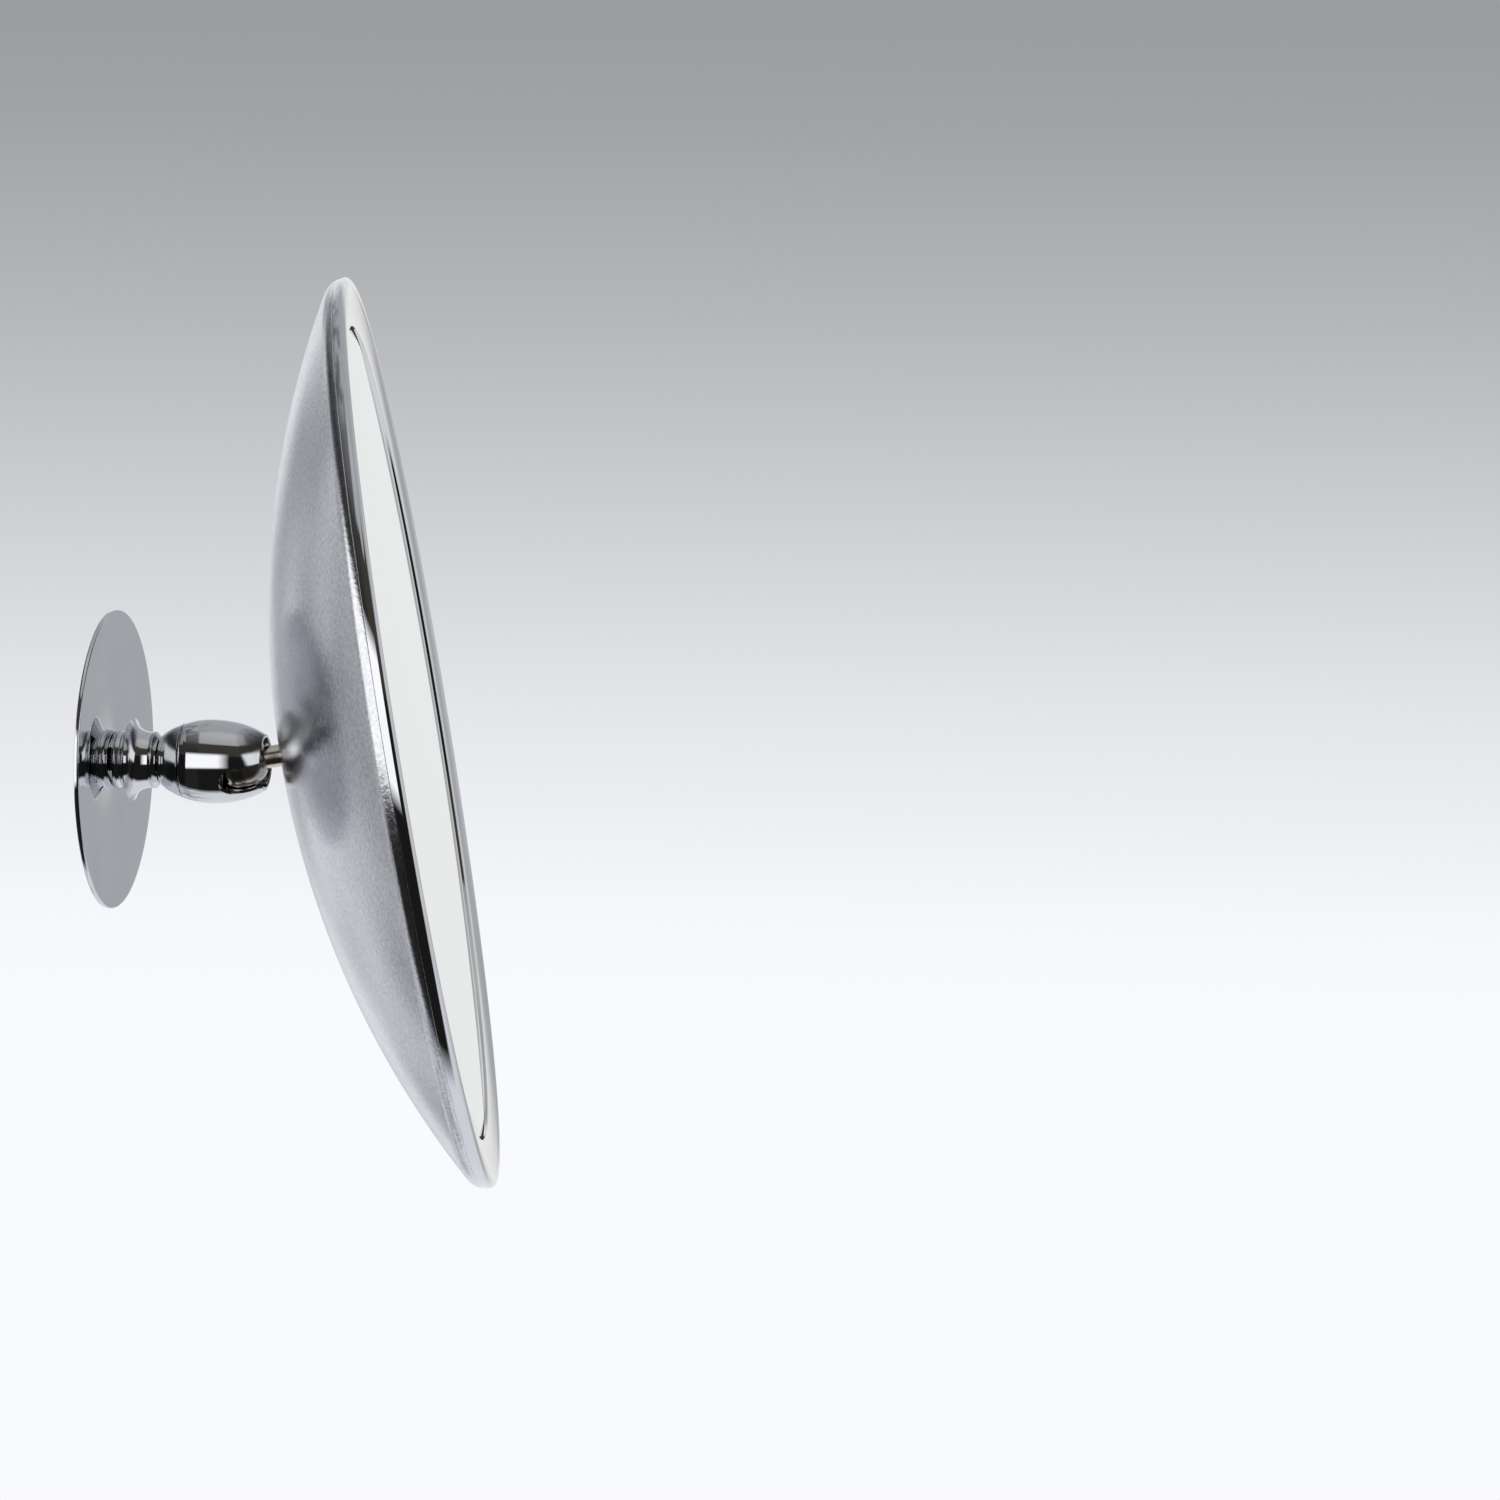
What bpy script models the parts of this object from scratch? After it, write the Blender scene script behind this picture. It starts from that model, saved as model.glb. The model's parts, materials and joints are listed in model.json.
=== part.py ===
"""Wall-mounted shaving mirror on a ball joint, modelled in metres with +Z up.

The wall is the plane y = 0 and the mirror faces -Y. The arm runs along -Y from the wall plate to the
ball. The head is stored turned and tilted about the ball's centre, as it is left in use.

Lengths along the arm start at the wall plate's front face. Lengths in the head start at the ball's
centre and grow towards the glass.
"""

from math import asin, cos, exp, pi, radians, sin, sqrt

import bmesh
import bpy
from mathutils import Matrix, Vector

MM = 0.001
GAP = 0.3 * MM
MERGE_DISTANCE = GAP / 300
SMALL_STEPS = 24
EMPTY_SIZE = 10 * MM
HEX_SIDES = 6
SHORT_ARC_POINTS = 5
EGG_FRONT_POINTS = 10
BALL_POINTS = 11
DISH_POINTS = 7
DISH_ROLL_POINTS = 3
HUB_POINTS = 3
BEAD_POINTS = 8
FLARE_CURVE = 1.5
DISC_STEPS = 48
PLATE_STEPS = 64
HOLE_STEPS = 16
HEAD_STEPS = 60
SHARP_ANGLE = radians(30)

# How the head stands at rest, measured from the arm's own direction.
HEAD_PAN = radians(9.2)
HEAD_TILT = radians(9.85)

# Wall end.
MOUNTING_DISC_RADIUS = 26 * MM
MOUNTING_DISC_THICKNESS = 2.6 * MM
MOUNTING_DISC_BEVEL = 0.4 * MM
WALL_HOLE_SPACING = 34 * MM
WALL_HOLE_RADIUS = 2.3 * MM
WALL_HOLE_HEAD_RADIUS = 4.3 * MM
WALL_PLATE_RADIUS = 37.5 * MM
WALL_PLATE_THICKNESS = 1.2 * MM
WALL_PLATE_EDGE_ROUND = 0.5 * MM
WALL_PLATE_BACK_BEVEL = 0.2 * MM
PLATE_FRONT = MOUNTING_DISC_THICKNESS + GAP + WALL_PLATE_THICKNESS
STUD_RADIUS = 3 * MM
STUD_SEAT_DEPTH = 1.6 * MM
STUD_END = 7.4 * MM
GRUB_RADIUS = 1.2 * MM
GRUB_ALONG = 2 * MM
GRUB_LENGTH = 2.6 * MM
GRUB_HEX_RADIUS = 0.6 * MM

# Turned neck.
NECK_BORE_END = 8 * MM
NECK_BASE_RADIUS = 7 * MM
NECK_BULGE_RADIUS = 7.35 * MM
NECK_BULGE_ALONG = 1.3 * MM
NECK_WAIST_RADIUS = 7.1 * MM
NECK_WAIST_ALONG = 2.3 * MM
FLARE_RIM_RADIUS = 10.4 * MM
FLARE_LIP = 0.25 * MM
FLARE_ROOT_RADIUS = 6.8 * MM
FLARE_START = 4.3 * MM
FLARE_END = 9.5 * MM
FLARE_DECAY = 1.55 * MM
FLARE_POINTS = 5
NECK_RING_RADIUS = 7.2 * MM
NECK_RING_ALONG = 10.3 * MM
NECK_END = 11.45 * MM
NECK_END_RADIUS = 5.9 * MM
NECK_THREAD_END = 16.6 * MM

# Egg-shaped housing of the ball.
EGG_CENTRE = 24.9 * MM
EGG_RADIUS = 10.6 * MM
EGG_REAR_HALF = 16 * MM
EGG_FRONT_HALF = 17.9 * MM
EGG_START = NECK_END + GAP
EGG_SEAM = 17.7 * MM
EGG_MOUTH = 38.4 * MM
MOUTH_RADIUS = 6.2 * MM
SPIGOT_RADIUS = 8 * MM
SPIGOT_END = 23 * MM
SPIGOT_BORE_RADIUS = 6.8 * MM
SPIGOT_BORE_START = 17 * MM
SHELL_RELIEF_RADIUS = 9.1 * MM
SHELL_RELIEF_START = 23.5 * MM
SHELL_RELIEF_END = 29.5 * MM
SLOT_WIDTH = 7.4 * MM
SLOT_CLOSED_END = 28.4 * MM
SLOT_DIRECTION = radians(211)
SLOT_BEND_POINTS = 10

# Ball and what presses on it.
BALL_ALONG = 31.55 * MM
BALL_RADIUS = 7.5 * MM
CUP_INNER_RADIUS = BALL_RADIUS + GAP
CUP_OUTER_RADIUS = 8.7 * MM
CUP_HOLE_ANGLE = radians(22)
CUP_EDGE_ANGLE = radians(56)
SEAT_RADIUS = 6.4 * MM
SEAT_HOLE_RADIUS = 1.5 * MM
SEAT_BACK = 19.9 * MM
SEAT_SPHERE_RADIUS = 9.05 * MM
SPRING_OUTER_RADIUS = 6.2 * MM
SPRING_INNER_RADIUS = 2.6 * MM
SPRING_THICKNESS = 0.6 * MM
SPRING_RISE = 0.4 * MM

# Stem between the ball and the head.
ROD_RADIUS = 2.8 * MM
ROD_START = 2 * MM
SPINDLE_RADIUS = 2 * MM
SPINDLE_END = 23.3 * MM
SPINDLE_HOLE_RADIUS = SPINDLE_RADIUS + GAP

# Head.
HEAD_RADIUS = 115 * MM
BEAD_HALF_WIDTH = 2.1 * MM
BEAD_HALF_HEIGHT = 1.5 * MM
BEAD_ALONG = 45.5 * MM
BEAD_CENTRE_RADIUS = HEAD_RADIUS - BEAD_HALF_WIDTH
BEAD_START_ANGLE = radians(118)
BEAD_FOOT = (114.66 * MM, 43.72 * MM)
BEAD_HEEL = (113.2 * MM, 44.16 * MM)
DISH_SPHERE_RADIUS = 227 * MM
DISH_APEX = 11 * MM
DISH_THICKNESS = 1 * MM
DISH_ROLL_START = 112.3 * MM
DISH_ROLL_RADIUS = 5 * MM
DISH_ROLL_END_ANGLE = radians(70)
GLASS_RADIUS = 101.9 * MM
GLASS_FRONT = BEAD_ALONG - 0.3 * MM
GLASS_THICKNESS = 3 * MM
GLASS_BEVEL_WIDTH = 1.9 * MM
GLASS_BEVEL_DEPTH = 0.5 * MM
SEAL_THICKNESS = 0.4 * MM
SEAL_WIDTH = 3.2 * MM
SEAL_SIDE_GAP = 0.2 * MM
BOARD_RADIUS = 102.2 * MM
BOARD_THICKNESS = 1.4 * MM
RING_INNER_RADIUS = 97 * MM
RING_OUTER_RADIUS = 102.4 * MM
RING_THICKNESS = 0.6 * MM
SLEEVE_RADIUS = 102.75 * MM
SLEEVE_THICKNESS = 0.8 * MM
SLEEVE_END = BEAD_ALONG - 7.1 * MM
COVE_OUTER_RADIUS = 111.4 * MM
COVE_OUTER_ALONG = BEAD_ALONG + 1.2 * MM
COVE_INNER_ALONG = BEAD_ALONG
COVE_SAG = 0.35 * MM
COVE_THICKNESS = 1.2 * MM
COVE_POINTS = 4
GROOVE_DEPTH = 0.2 * MM

# Bearing of the head on the spindle.
HUB_RADIUS = 18 * MM
HUB_FRONT = 15.3 * MM
BUSH_RADIUS = 3.6 * MM
BUSH_FLANGE_RADIUS = 6.5 * MM
BUSH_FLANGE_THICKNESS = 0.8 * MM
WASHER_RADIUS = 6 * MM
WASHER_THICKNESS = 1 * MM
SPRING_WASHER_RADIUS = 5 * MM
SPRING_WASHER_THICKNESS = 0.8 * MM
NUT_ACROSS_FLATS = 7 * MM
NUT_HEIGHT = 3.2 * MM


def clear_scene():
    for obj in list(bpy.data.objects):
        bpy.data.objects.remove(obj, do_unlink=True)


def material(name, colour, roughness, metallic):
    made = bpy.data.materials.new(name)
    made.use_nodes = True
    shader = made.node_tree.nodes["Principled BSDF"]
    shader.inputs["Base Color"].default_value = (*colour, 1)
    shader.inputs["Roughness"].default_value = roughness
    shader.inputs["Metallic"].default_value = metallic
    made.diffuse_color = (*colour, 1)
    return made


def frame_empty(name, along, pan=0.0, tilt=0.0):
    """An empty on the arm's axis whose local +Z points out of the wall, turned by pan and tilt."""
    empty = bpy.data.objects.new(name, None)
    bpy.context.collection.objects.link(empty)
    empty.location = (0, -(PLATE_FRONT + along), 0)
    empty.rotation_euler = (pi / 2 - tilt, 0, pan)
    empty.empty_display_size = EMPTY_SIZE
    return empty


def object_from(name, shape, parent, look):
    mesh = bpy.data.meshes.new(name)
    bmesh.ops.recalc_face_normals(shape, faces=shape.faces)
    if shape.calc_volume(signed=True) < 0:
        bmesh.ops.reverse_faces(shape, faces=shape.faces)
    shape.to_mesh(mesh)
    shape.free()
    mesh.shade_smooth()
    mesh.set_sharp_from_angle(angle=SHARP_ANGLE)
    obj = bpy.data.objects.new(name, mesh)
    bpy.context.collection.objects.link(obj)
    obj.parent = parent
    if look:
        mesh.materials.append(look)
    return obj


def turned(name, profile, parent, look, steps=SMALL_STEPS, ring=False):
    """A solid turned about local Z from (radius, along) points.

    Without ring the outline starts and ends on the axis. With ring it is a closed outline off the axis.
    """
    shape = bmesh.new()
    points = [shape.verts.new((radius, 0, along)) for radius, along in profile]
    pairs = list(zip(points, points[1:]))
    if ring:
        pairs.append((points[-1], points[0]))
    edges = [shape.edges.new(pair) for pair in pairs]
    bmesh.ops.spin(
        shape,
        geom=points + edges,
        cent=(0, 0, 0),
        axis=(0, 0, 1),
        angle=2 * pi,
        steps=steps,
        use_merge=True,
    )
    bmesh.ops.remove_doubles(shape, verts=shape.verts, dist=MERGE_DISTANCE)
    return object_from(name, shape, parent, look)


def washer(name, inner, outer, start, thickness, parent, look, steps=SMALL_STEPS):
    outline = [(inner, start), (outer, start), (outer, start + thickness), (inner, start + thickness)]
    return turned(name, outline, parent, look, steps, ring=True)


def arc(centre_radius, centre_along, radius, start, end, count):
    """Points of an arc in the profile's plane, with angles from the radius axis towards the front."""
    angles = [start + (end - start) * i / count for i in range(count + 1)]
    return [(centre_radius + radius * cos(a), centre_along + radius * sin(a)) for a in angles]


def prism(name, outline, height, parent, look, matrix=None):
    """A closed outline in local XY extruded along +Z, then moved by matrix."""
    shape = bmesh.new()
    face = shape.faces.new([shape.verts.new((x, y, 0)) for x, y in outline])
    grown = bmesh.ops.extrude_face_region(shape, geom=[face])["geom"]
    top = [item for item in grown if isinstance(item, bmesh.types.BMVert)]
    bmesh.ops.translate(shape, verts=top, vec=(0, 0, height))
    if matrix:
        shape.transform(matrix)
    return object_from(name, shape, parent, look)


def circle_outline(radius, count):
    angles = [2 * pi * i / count for i in range(count)]
    return [(radius * cos(a), radius * sin(a)) for a in angles]


def cut(target, cutter):
    cutter.hide_render = True
    cutter.display_type = "WIRE"
    boolean = target.modifiers.new(cutter.name, "BOOLEAN")
    boolean.operation = "DIFFERENCE"
    boolean.solver = "EXACT"
    boolean.object = cutter


def egg_radius(along):
    half = EGG_REAR_HALF if along < EGG_CENTRE else EGG_FRONT_HALF
    return EGG_RADIUS * sqrt(1 - ((along - EGG_CENTRE) / half) ** 2)


def egg_profile(start, end, count):
    return [(egg_radius(a), a) for a in (start + (end - start) * i / count for i in range(count + 1))]


def shifted(profile, distance):
    return [(radius, along + distance) for radius, along in profile]


def wall_end(arm, looks):
    disc_back = -PLATE_FRONT
    disc_front = disc_back + MOUNTING_DISC_THICKNESS
    edge = MOUNTING_DISC_BEVEL
    outline = [
        (0, disc_back),
        (MOUNTING_DISC_RADIUS, disc_back),
        (MOUNTING_DISC_RADIUS, disc_front - edge),
        (MOUNTING_DISC_RADIUS - edge, disc_front),
        (STUD_RADIUS + GAP, disc_front),
        (STUD_RADIUS + GAP, disc_front - STUD_SEAT_DEPTH),
        (0, disc_front - STUD_SEAT_DEPTH),
    ]
    disc = turned("mounting_disc", outline, arm, looks["steel"], DISC_STEPS)
    for side in (-1, 1):
        countersunk = [
            (0, disc_back - MM),
            (WALL_HOLE_RADIUS, disc_back - MM),
            (WALL_HOLE_RADIUS, disc_front - (WALL_HOLE_HEAD_RADIUS - WALL_HOLE_RADIUS)),
            (WALL_HOLE_HEAD_RADIUS + MM, disc_front + MM),
            (0, disc_front + MM),
        ]
        hole = turned(f"wall_hole_cutter_{side + 1}", countersunk, arm, None, HOLE_STEPS)
        hole.location.x = side * WALL_HOLE_SPACING / 2
        cut(disc, hole)

    back, bevel = -WALL_PLATE_THICKNESS, WALL_PLATE_BACK_BEVEL
    hole_radius = STUD_RADIUS + 2 * GAP
    edge = WALL_PLATE_EDGE_ROUND
    outline = [
        (hole_radius, back),
        (WALL_PLATE_RADIUS - bevel, back),
        (WALL_PLATE_RADIUS, back + bevel),
        *arc(WALL_PLATE_RADIUS - edge, -edge, edge, 0, pi / 2, 4),
        (hole_radius, 0),
    ]
    turned("wall_plate", outline, arm, looks["chrome"], PLATE_STEPS, ring=True)

    stud_start = disc_front - STUD_SEAT_DEPTH + GAP
    stud = [(0, stud_start), (STUD_RADIUS, stud_start), (STUD_RADIUS, STUD_END), (0, STUD_END)]
    turned("neck_stud", stud, arm, looks["steel"])


def neck(arm, looks):
    spread = FLARE_RIM_RADIUS - FLARE_ROOT_RADIUS
    flare = []
    for i in range(FLARE_POINTS + 1):
        run = (FLARE_END - FLARE_START) * (i / FLARE_POINTS) ** FLARE_CURVE
        flare.append((FLARE_ROOT_RADIUS + spread * exp(-run / FLARE_DECAY), FLARE_START + run))
    bore = STUD_RADIUS + GAP
    outline = [
        (0, NECK_BORE_END),
        (bore, NECK_BORE_END),
        (bore, GAP),
        (NECK_BASE_RADIUS, GAP),
        (NECK_BULGE_RADIUS, NECK_BULGE_ALONG),
        (NECK_WAIST_RADIUS, NECK_WAIST_ALONG),
        (FLARE_RIM_RADIUS - FLARE_LIP, FLARE_START - FLARE_LIP),
        *flare,
        (NECK_RING_RADIUS, NECK_RING_ALONG),
        (NECK_END_RADIUS, NECK_END),
        (STUD_RADIUS, NECK_END),
        (STUD_RADIUS, NECK_THREAD_END),
        (0, NECK_THREAD_END),
    ]
    spindle = turned("neck_spindle", outline, arm, looks["chrome"])

    # The locking screw comes in from below, so its own +Z is the arm frame's -Y.
    downwards = Matrix.Translation((0, 0, GRUB_ALONG)) @ Matrix.Rotation(pi / 2, 4, "X")
    hole = prism(
        "grub_hole_cutter",
        circle_outline(GRUB_RADIUS + GAP, HOLE_STEPS),
        FLARE_RIM_RADIUS,
        arm,
        None,
        downwards @ Matrix.Translation((0, 0, STUD_RADIUS)),
    )
    cut(spindle, hole)
    screw_start = Matrix.Translation((0, 0, STUD_RADIUS + 2 * GAP))
    screw = prism(
        "neck_grub_screw",
        circle_outline(GRUB_RADIUS, HOLE_STEPS),
        GRUB_LENGTH,
        arm,
        looks["dark_steel"],
        downwards @ screw_start,
    )
    socket = prism(
        "grub_hex_cutter",
        circle_outline(GRUB_HEX_RADIUS, HEX_SIDES),
        GRUB_LENGTH,
        arm,
        None,
        downwards @ screw_start @ Matrix.Translation((0, 0, GRUB_LENGTH / 2)),
    )
    cut(screw, socket)


def rear_cup(arm, looks):
    hole = STUD_RADIUS + GAP
    seam = EGG_SEAM - GAP / 2
    outline = [
        (hole, EGG_START),
        *egg_profile(EGG_START, seam, SHORT_ARC_POINTS),
        (SPIGOT_RADIUS, seam),
        (SPIGOT_RADIUS, SPIGOT_END),
        (SPIGOT_BORE_RADIUS, SPIGOT_END),
        (SPIGOT_BORE_RADIUS, SPIGOT_BORE_START),
        (hole, SPIGOT_BORE_START),
    ]
    turned("socket_rear_cup", outline, arm, looks["chrome"], ring=True)

    for index, opens_forward in ((1, True), (2, False)):
        start = SPIGOT_BORE_START + index * GAP + (index - 1) * (SPRING_THICKNESS + SPRING_RISE)
        low, high = (0, SPRING_RISE) if opens_forward else (SPRING_RISE, 0)
        outline = [
            (SPRING_INNER_RADIUS, start + low),
            (SPRING_OUTER_RADIUS, start + high),
            (SPRING_OUTER_RADIUS, start + high + SPRING_THICKNESS),
            (SPRING_INNER_RADIUS, start + low + SPRING_THICKNESS),
        ]
        turned(f"disc_spring_{index}", outline, arm, looks["steel"], ring=True)

    start = -pi / 2 + asin(SEAT_HOLE_RADIUS / SEAT_SPHERE_RADIUS)
    end = -pi / 2 + asin(SEAT_RADIUS / SEAT_SPHERE_RADIUS)
    outline = [
        (SEAT_RADIUS, SEAT_BACK),
        (SEAT_HOLE_RADIUS, SEAT_BACK),
        *arc(0, BALL_ALONG, SEAT_SPHERE_RADIUS, start, end, SHORT_ARC_POINTS),
    ]
    turned("spring_seat", outline, arm, looks["brass"], ring=True)


def front_shell(looks):
    frame = frame_empty("socket_turn_axis", BALL_ALONG)
    seat_edge = asin(MOUTH_RADIUS / CUP_INNER_RADIUS)
    seat = arc(0, BALL_ALONG, CUP_INNER_RADIUS, 0, pi / 2 - seat_edge, SHORT_ARC_POINTS)
    thread = SPIGOT_RADIUS + GAP
    seam = EGG_SEAM + GAP / 2
    outline = [
        *egg_profile(seam, EGG_MOUTH, EGG_FRONT_POINTS),
        (MOUTH_RADIUS, EGG_MOUTH),
        *reversed(seat),
        (CUP_INNER_RADIUS, SHELL_RELIEF_END),
        (SHELL_RELIEF_RADIUS, SHELL_RELIEF_END),
        (SHELL_RELIEF_RADIUS, SHELL_RELIEF_START),
        (thread, SHELL_RELIEF_START),
        (thread, seam),
    ]
    outline = shifted(outline, -BALL_ALONG)
    shell = turned("socket_front_shell", outline, frame, looks["chrome"], ring=True)

    half = SLOT_WIDTH / 2
    closed = SLOT_CLOSED_END + half - BALL_ALONG
    mouth = EGG_MOUTH + MM - BALL_ALONG
    turns = [pi * i / SLOT_BEND_POINTS for i in range(SLOT_BEND_POINTS + 1)]
    bend = [(closed - half * sin(t), half * cos(t)) for t in turns]
    outline = [(mouth, half), *bend, (mouth, -half)]
    outwards = Vector((cos(SLOT_DIRECTION), sin(SLOT_DIRECTION), 0))
    along = Vector((0, 0, 1))
    across = outwards.cross(along)
    turn = Matrix((along, across, outwards)).transposed().to_4x4()
    slot = prism("rod_slot_cutter", outline, 2 * EGG_RADIUS, frame, None, turn)
    cut(shell, slot)


def friction_cup(looks):
    frame = frame_empty("ball_pan_axis", BALL_ALONG, pan=HEAD_PAN)
    first, last = -pi / 2 + CUP_HOLE_ANGLE, -pi / 2 + CUP_EDGE_ANGLE
    inside = arc(0, 0, CUP_INNER_RADIUS, first, last, SHORT_ARC_POINTS)
    outside = arc(0, 0, CUP_OUTER_RADIUS, first, last, SHORT_ARC_POINTS)
    turned("friction_cup", [*outside, *reversed(inside)], frame, looks["nylon"], ring=True)


def ball_and_rod(head, looks):
    hole = ROD_RADIUS + GAP
    mouth = pi / 2 - asin(hole / BALL_RADIUS)
    outline = [
        *arc(0, 0, BALL_RADIUS, -pi / 2, mouth, BALL_POINTS),
        (hole, ROD_START - GAP),
        (0, ROD_START - GAP),
    ]
    outline[0] = (0, -BALL_RADIUS)
    turned("ball", outline, head, looks["nickel"])

    shoulder = DISH_APEX - GAP
    outline = [
        (0, ROD_START),
        (ROD_RADIUS, ROD_START),
        (ROD_RADIUS, shoulder),
        (SPINDLE_RADIUS, shoulder),
        (SPINDLE_RADIUS, SPINDLE_END - GAP),
        (SPINDLE_RADIUS - GAP, SPINDLE_END),
        (0, SPINDLE_END),
    ]
    turned("stem_rod", outline, head, looks["nickel"])


def dish_arc(radius, inner, outer, count):
    """The dish's section on a sphere of this radius, from the inner to the outer turned radius."""
    centre = DISH_APEX + DISH_SPHERE_RADIUS
    start, end = -pi / 2 + asin(inner / radius), -pi / 2 + asin(outer / radius)
    return arc(0, centre, radius, start, end, count)


def dish_side(depth):
    """The dish's section this far under its outer face, with the edge rolled up towards the rim."""
    lean = asin(DISH_ROLL_START / DISH_SPHERE_RADIUS)
    sphere = DISH_SPHERE_RADIUS - depth
    bowl = dish_arc(sphere, SPINDLE_HOLE_RADIUS, sphere * sin(lean), DISH_POINTS)
    roll_centre_radius = (DISH_SPHERE_RADIUS - DISH_ROLL_RADIUS) * sin(lean)
    roll_centre = DISH_APEX + DISH_SPHERE_RADIUS - (DISH_SPHERE_RADIUS - DISH_ROLL_RADIUS) * cos(lean)
    start, end = lean - pi / 2, DISH_ROLL_END_ANGLE - pi / 2
    roll = arc(roll_centre_radius, roll_centre, DISH_ROLL_RADIUS - depth, start, end, DISH_ROLL_POINTS)
    return [*bowl, *roll[1:]]


def back_shell(head, looks):
    outside, inside = (dish_side(depth) for depth in (0, DISH_THICKNESS))
    turned("head_back_shell", [*outside, *reversed(inside)], head, looks["satin"], HEAD_STEPS, ring=True)


def hub(head, looks):
    hole = BUSH_RADIUS + GAP
    back = dish_arc(DISH_SPHERE_RADIUS - DISH_THICKNESS - GAP, hole, HUB_RADIUS, HUB_POINTS)
    outline = [*back, (HUB_RADIUS, HUB_FRONT), (hole, HUB_FRONT)]
    turned("hub_plate", outline, head, looks["steel"], ring=True)

    bush_start = DISH_APEX + DISH_THICKNESS + GAP
    flange_start = HUB_FRONT + GAP
    flange_end = flange_start + BUSH_FLANGE_THICKNESS
    outline = [
        (SPINDLE_HOLE_RADIUS, bush_start),
        (BUSH_RADIUS, bush_start),
        (BUSH_RADIUS, flange_start),
        (BUSH_FLANGE_RADIUS, flange_start),
        (BUSH_FLANGE_RADIUS, flange_end),
        (SPINDLE_HOLE_RADIUS, flange_end),
    ]
    turned("hub_bush", outline, head, looks["nylon"], ring=True)

    start = flange_end + GAP
    hole = SPINDLE_HOLE_RADIUS
    washer("stem_washer", hole, WASHER_RADIUS, start, WASHER_THICKNESS, head, looks["steel"])
    start += WASHER_THICKNESS + GAP
    thickness = SPRING_WASHER_THICKNESS
    washer("stem_spring_washer", hole, SPRING_WASHER_RADIUS, start, thickness, head, looks["steel"])
    start += SPRING_WASHER_THICKNESS + GAP
    lock_nut(start, head, looks)


def lock_nut(start, head, looks):
    """The nut is a part of the stem, so that the head turns under it."""
    corner = NUT_ACROSS_FLATS / 2 / cos(pi / HEX_SIDES)
    lift = Matrix.Translation((0, 0, start))
    nut = prism("stem_lock_nut", circle_outline(corner, HEX_SIDES), NUT_HEIGHT, head, looks["steel"], lift)
    drill = [
        (0, start - MM),
        (SPINDLE_HOLE_RADIUS, start - MM),
        (SPINDLE_HOLE_RADIUS, start + NUT_HEIGHT + MM),
        (0, start + NUT_HEIGHT + MM),
    ]
    cut(nut, turned("nut_drill_cutter", drill, head, None))


def rim(head, looks):
    width = COVE_OUTER_RADIUS - SLEEVE_RADIUS
    rise = COVE_OUTER_ALONG - COVE_INNER_ALONG
    cove = []
    for i in range(COVE_POINTS + 1):
        share = i / COVE_POINTS
        sag = COVE_SAG * 4 * share * (1 - share)
        cove.append((SLEEVE_RADIUS + width * share, COVE_INNER_ALONG + rise * share - sag))
    rolled = arc(0, 0, 1, BEAD_START_ANGLE, 0, BEAD_POINTS)
    bead = [
        (BEAD_CENTRE_RADIUS + BEAD_HALF_WIDTH * x, BEAD_ALONG + BEAD_HALF_HEIGHT * y)
        for x, y in rolled
    ]
    sleeve_outer = SLEEVE_RADIUS + SLEEVE_THICKNESS
    outline = [
        (SLEEVE_RADIUS, SLEEVE_END),
        *cove,
        (COVE_OUTER_RADIUS + GAP / 2, COVE_OUTER_ALONG - GROOVE_DEPTH),
        *bead,
        BEAD_FOOT,
        BEAD_HEEL,
        (sleeve_outer, COVE_INNER_ALONG - COVE_THICKNESS),
        (sleeve_outer, SLEEVE_END),
    ]
    turned("rim_bezel", outline, head, looks["chrome"], HEAD_STEPS, ring=True)


def glass_pack(head, looks):
    back = GLASS_FRONT - GLASS_THICKNESS
    outline = [
        (0, back),
        (GLASS_RADIUS, back),
        (GLASS_RADIUS, GLASS_FRONT - GLASS_BEVEL_DEPTH),
        (GLASS_RADIUS - GLASS_BEVEL_WIDTH, GLASS_FRONT),
        (0, GLASS_FRONT),
    ]
    turned("mirror_glass", outline, head, looks["mirror"], HEAD_STEPS)

    lip_inner = GLASS_RADIUS + SEAL_SIDE_GAP
    lip_outer = lip_inner + SEAL_THICKNESS
    seal_front = back - GAP
    seal_back = seal_front - SEAL_THICKNESS
    outline = [
        (lip_outer - SEAL_WIDTH, seal_back),
        (lip_outer, seal_back),
        (lip_outer, GLASS_FRONT - GLASS_BEVEL_DEPTH),
        (lip_inner, GLASS_FRONT - GLASS_BEVEL_DEPTH),
        (lip_inner, seal_front),
        (lip_outer - SEAL_WIDTH, seal_front),
    ]
    turned("rim_seal", outline, head, looks["rubber"], HEAD_STEPS, ring=True)

    board_front = seal_back - GAP
    board_back = board_front - BOARD_THICKNESS
    outline = [(0, board_back), (BOARD_RADIUS, board_back), (BOARD_RADIUS, board_front), (0, board_front)]
    turned("backing_board", outline, head, looks["board"], HEAD_STEPS)

    ring_back = board_back - GAP - RING_THICKNESS
    radii = (RING_INNER_RADIUS, RING_OUTER_RADIUS)
    washer("retaining_ring", *radii, ring_back, RING_THICKNESS, head, looks["steel"], HEAD_STEPS)


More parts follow.
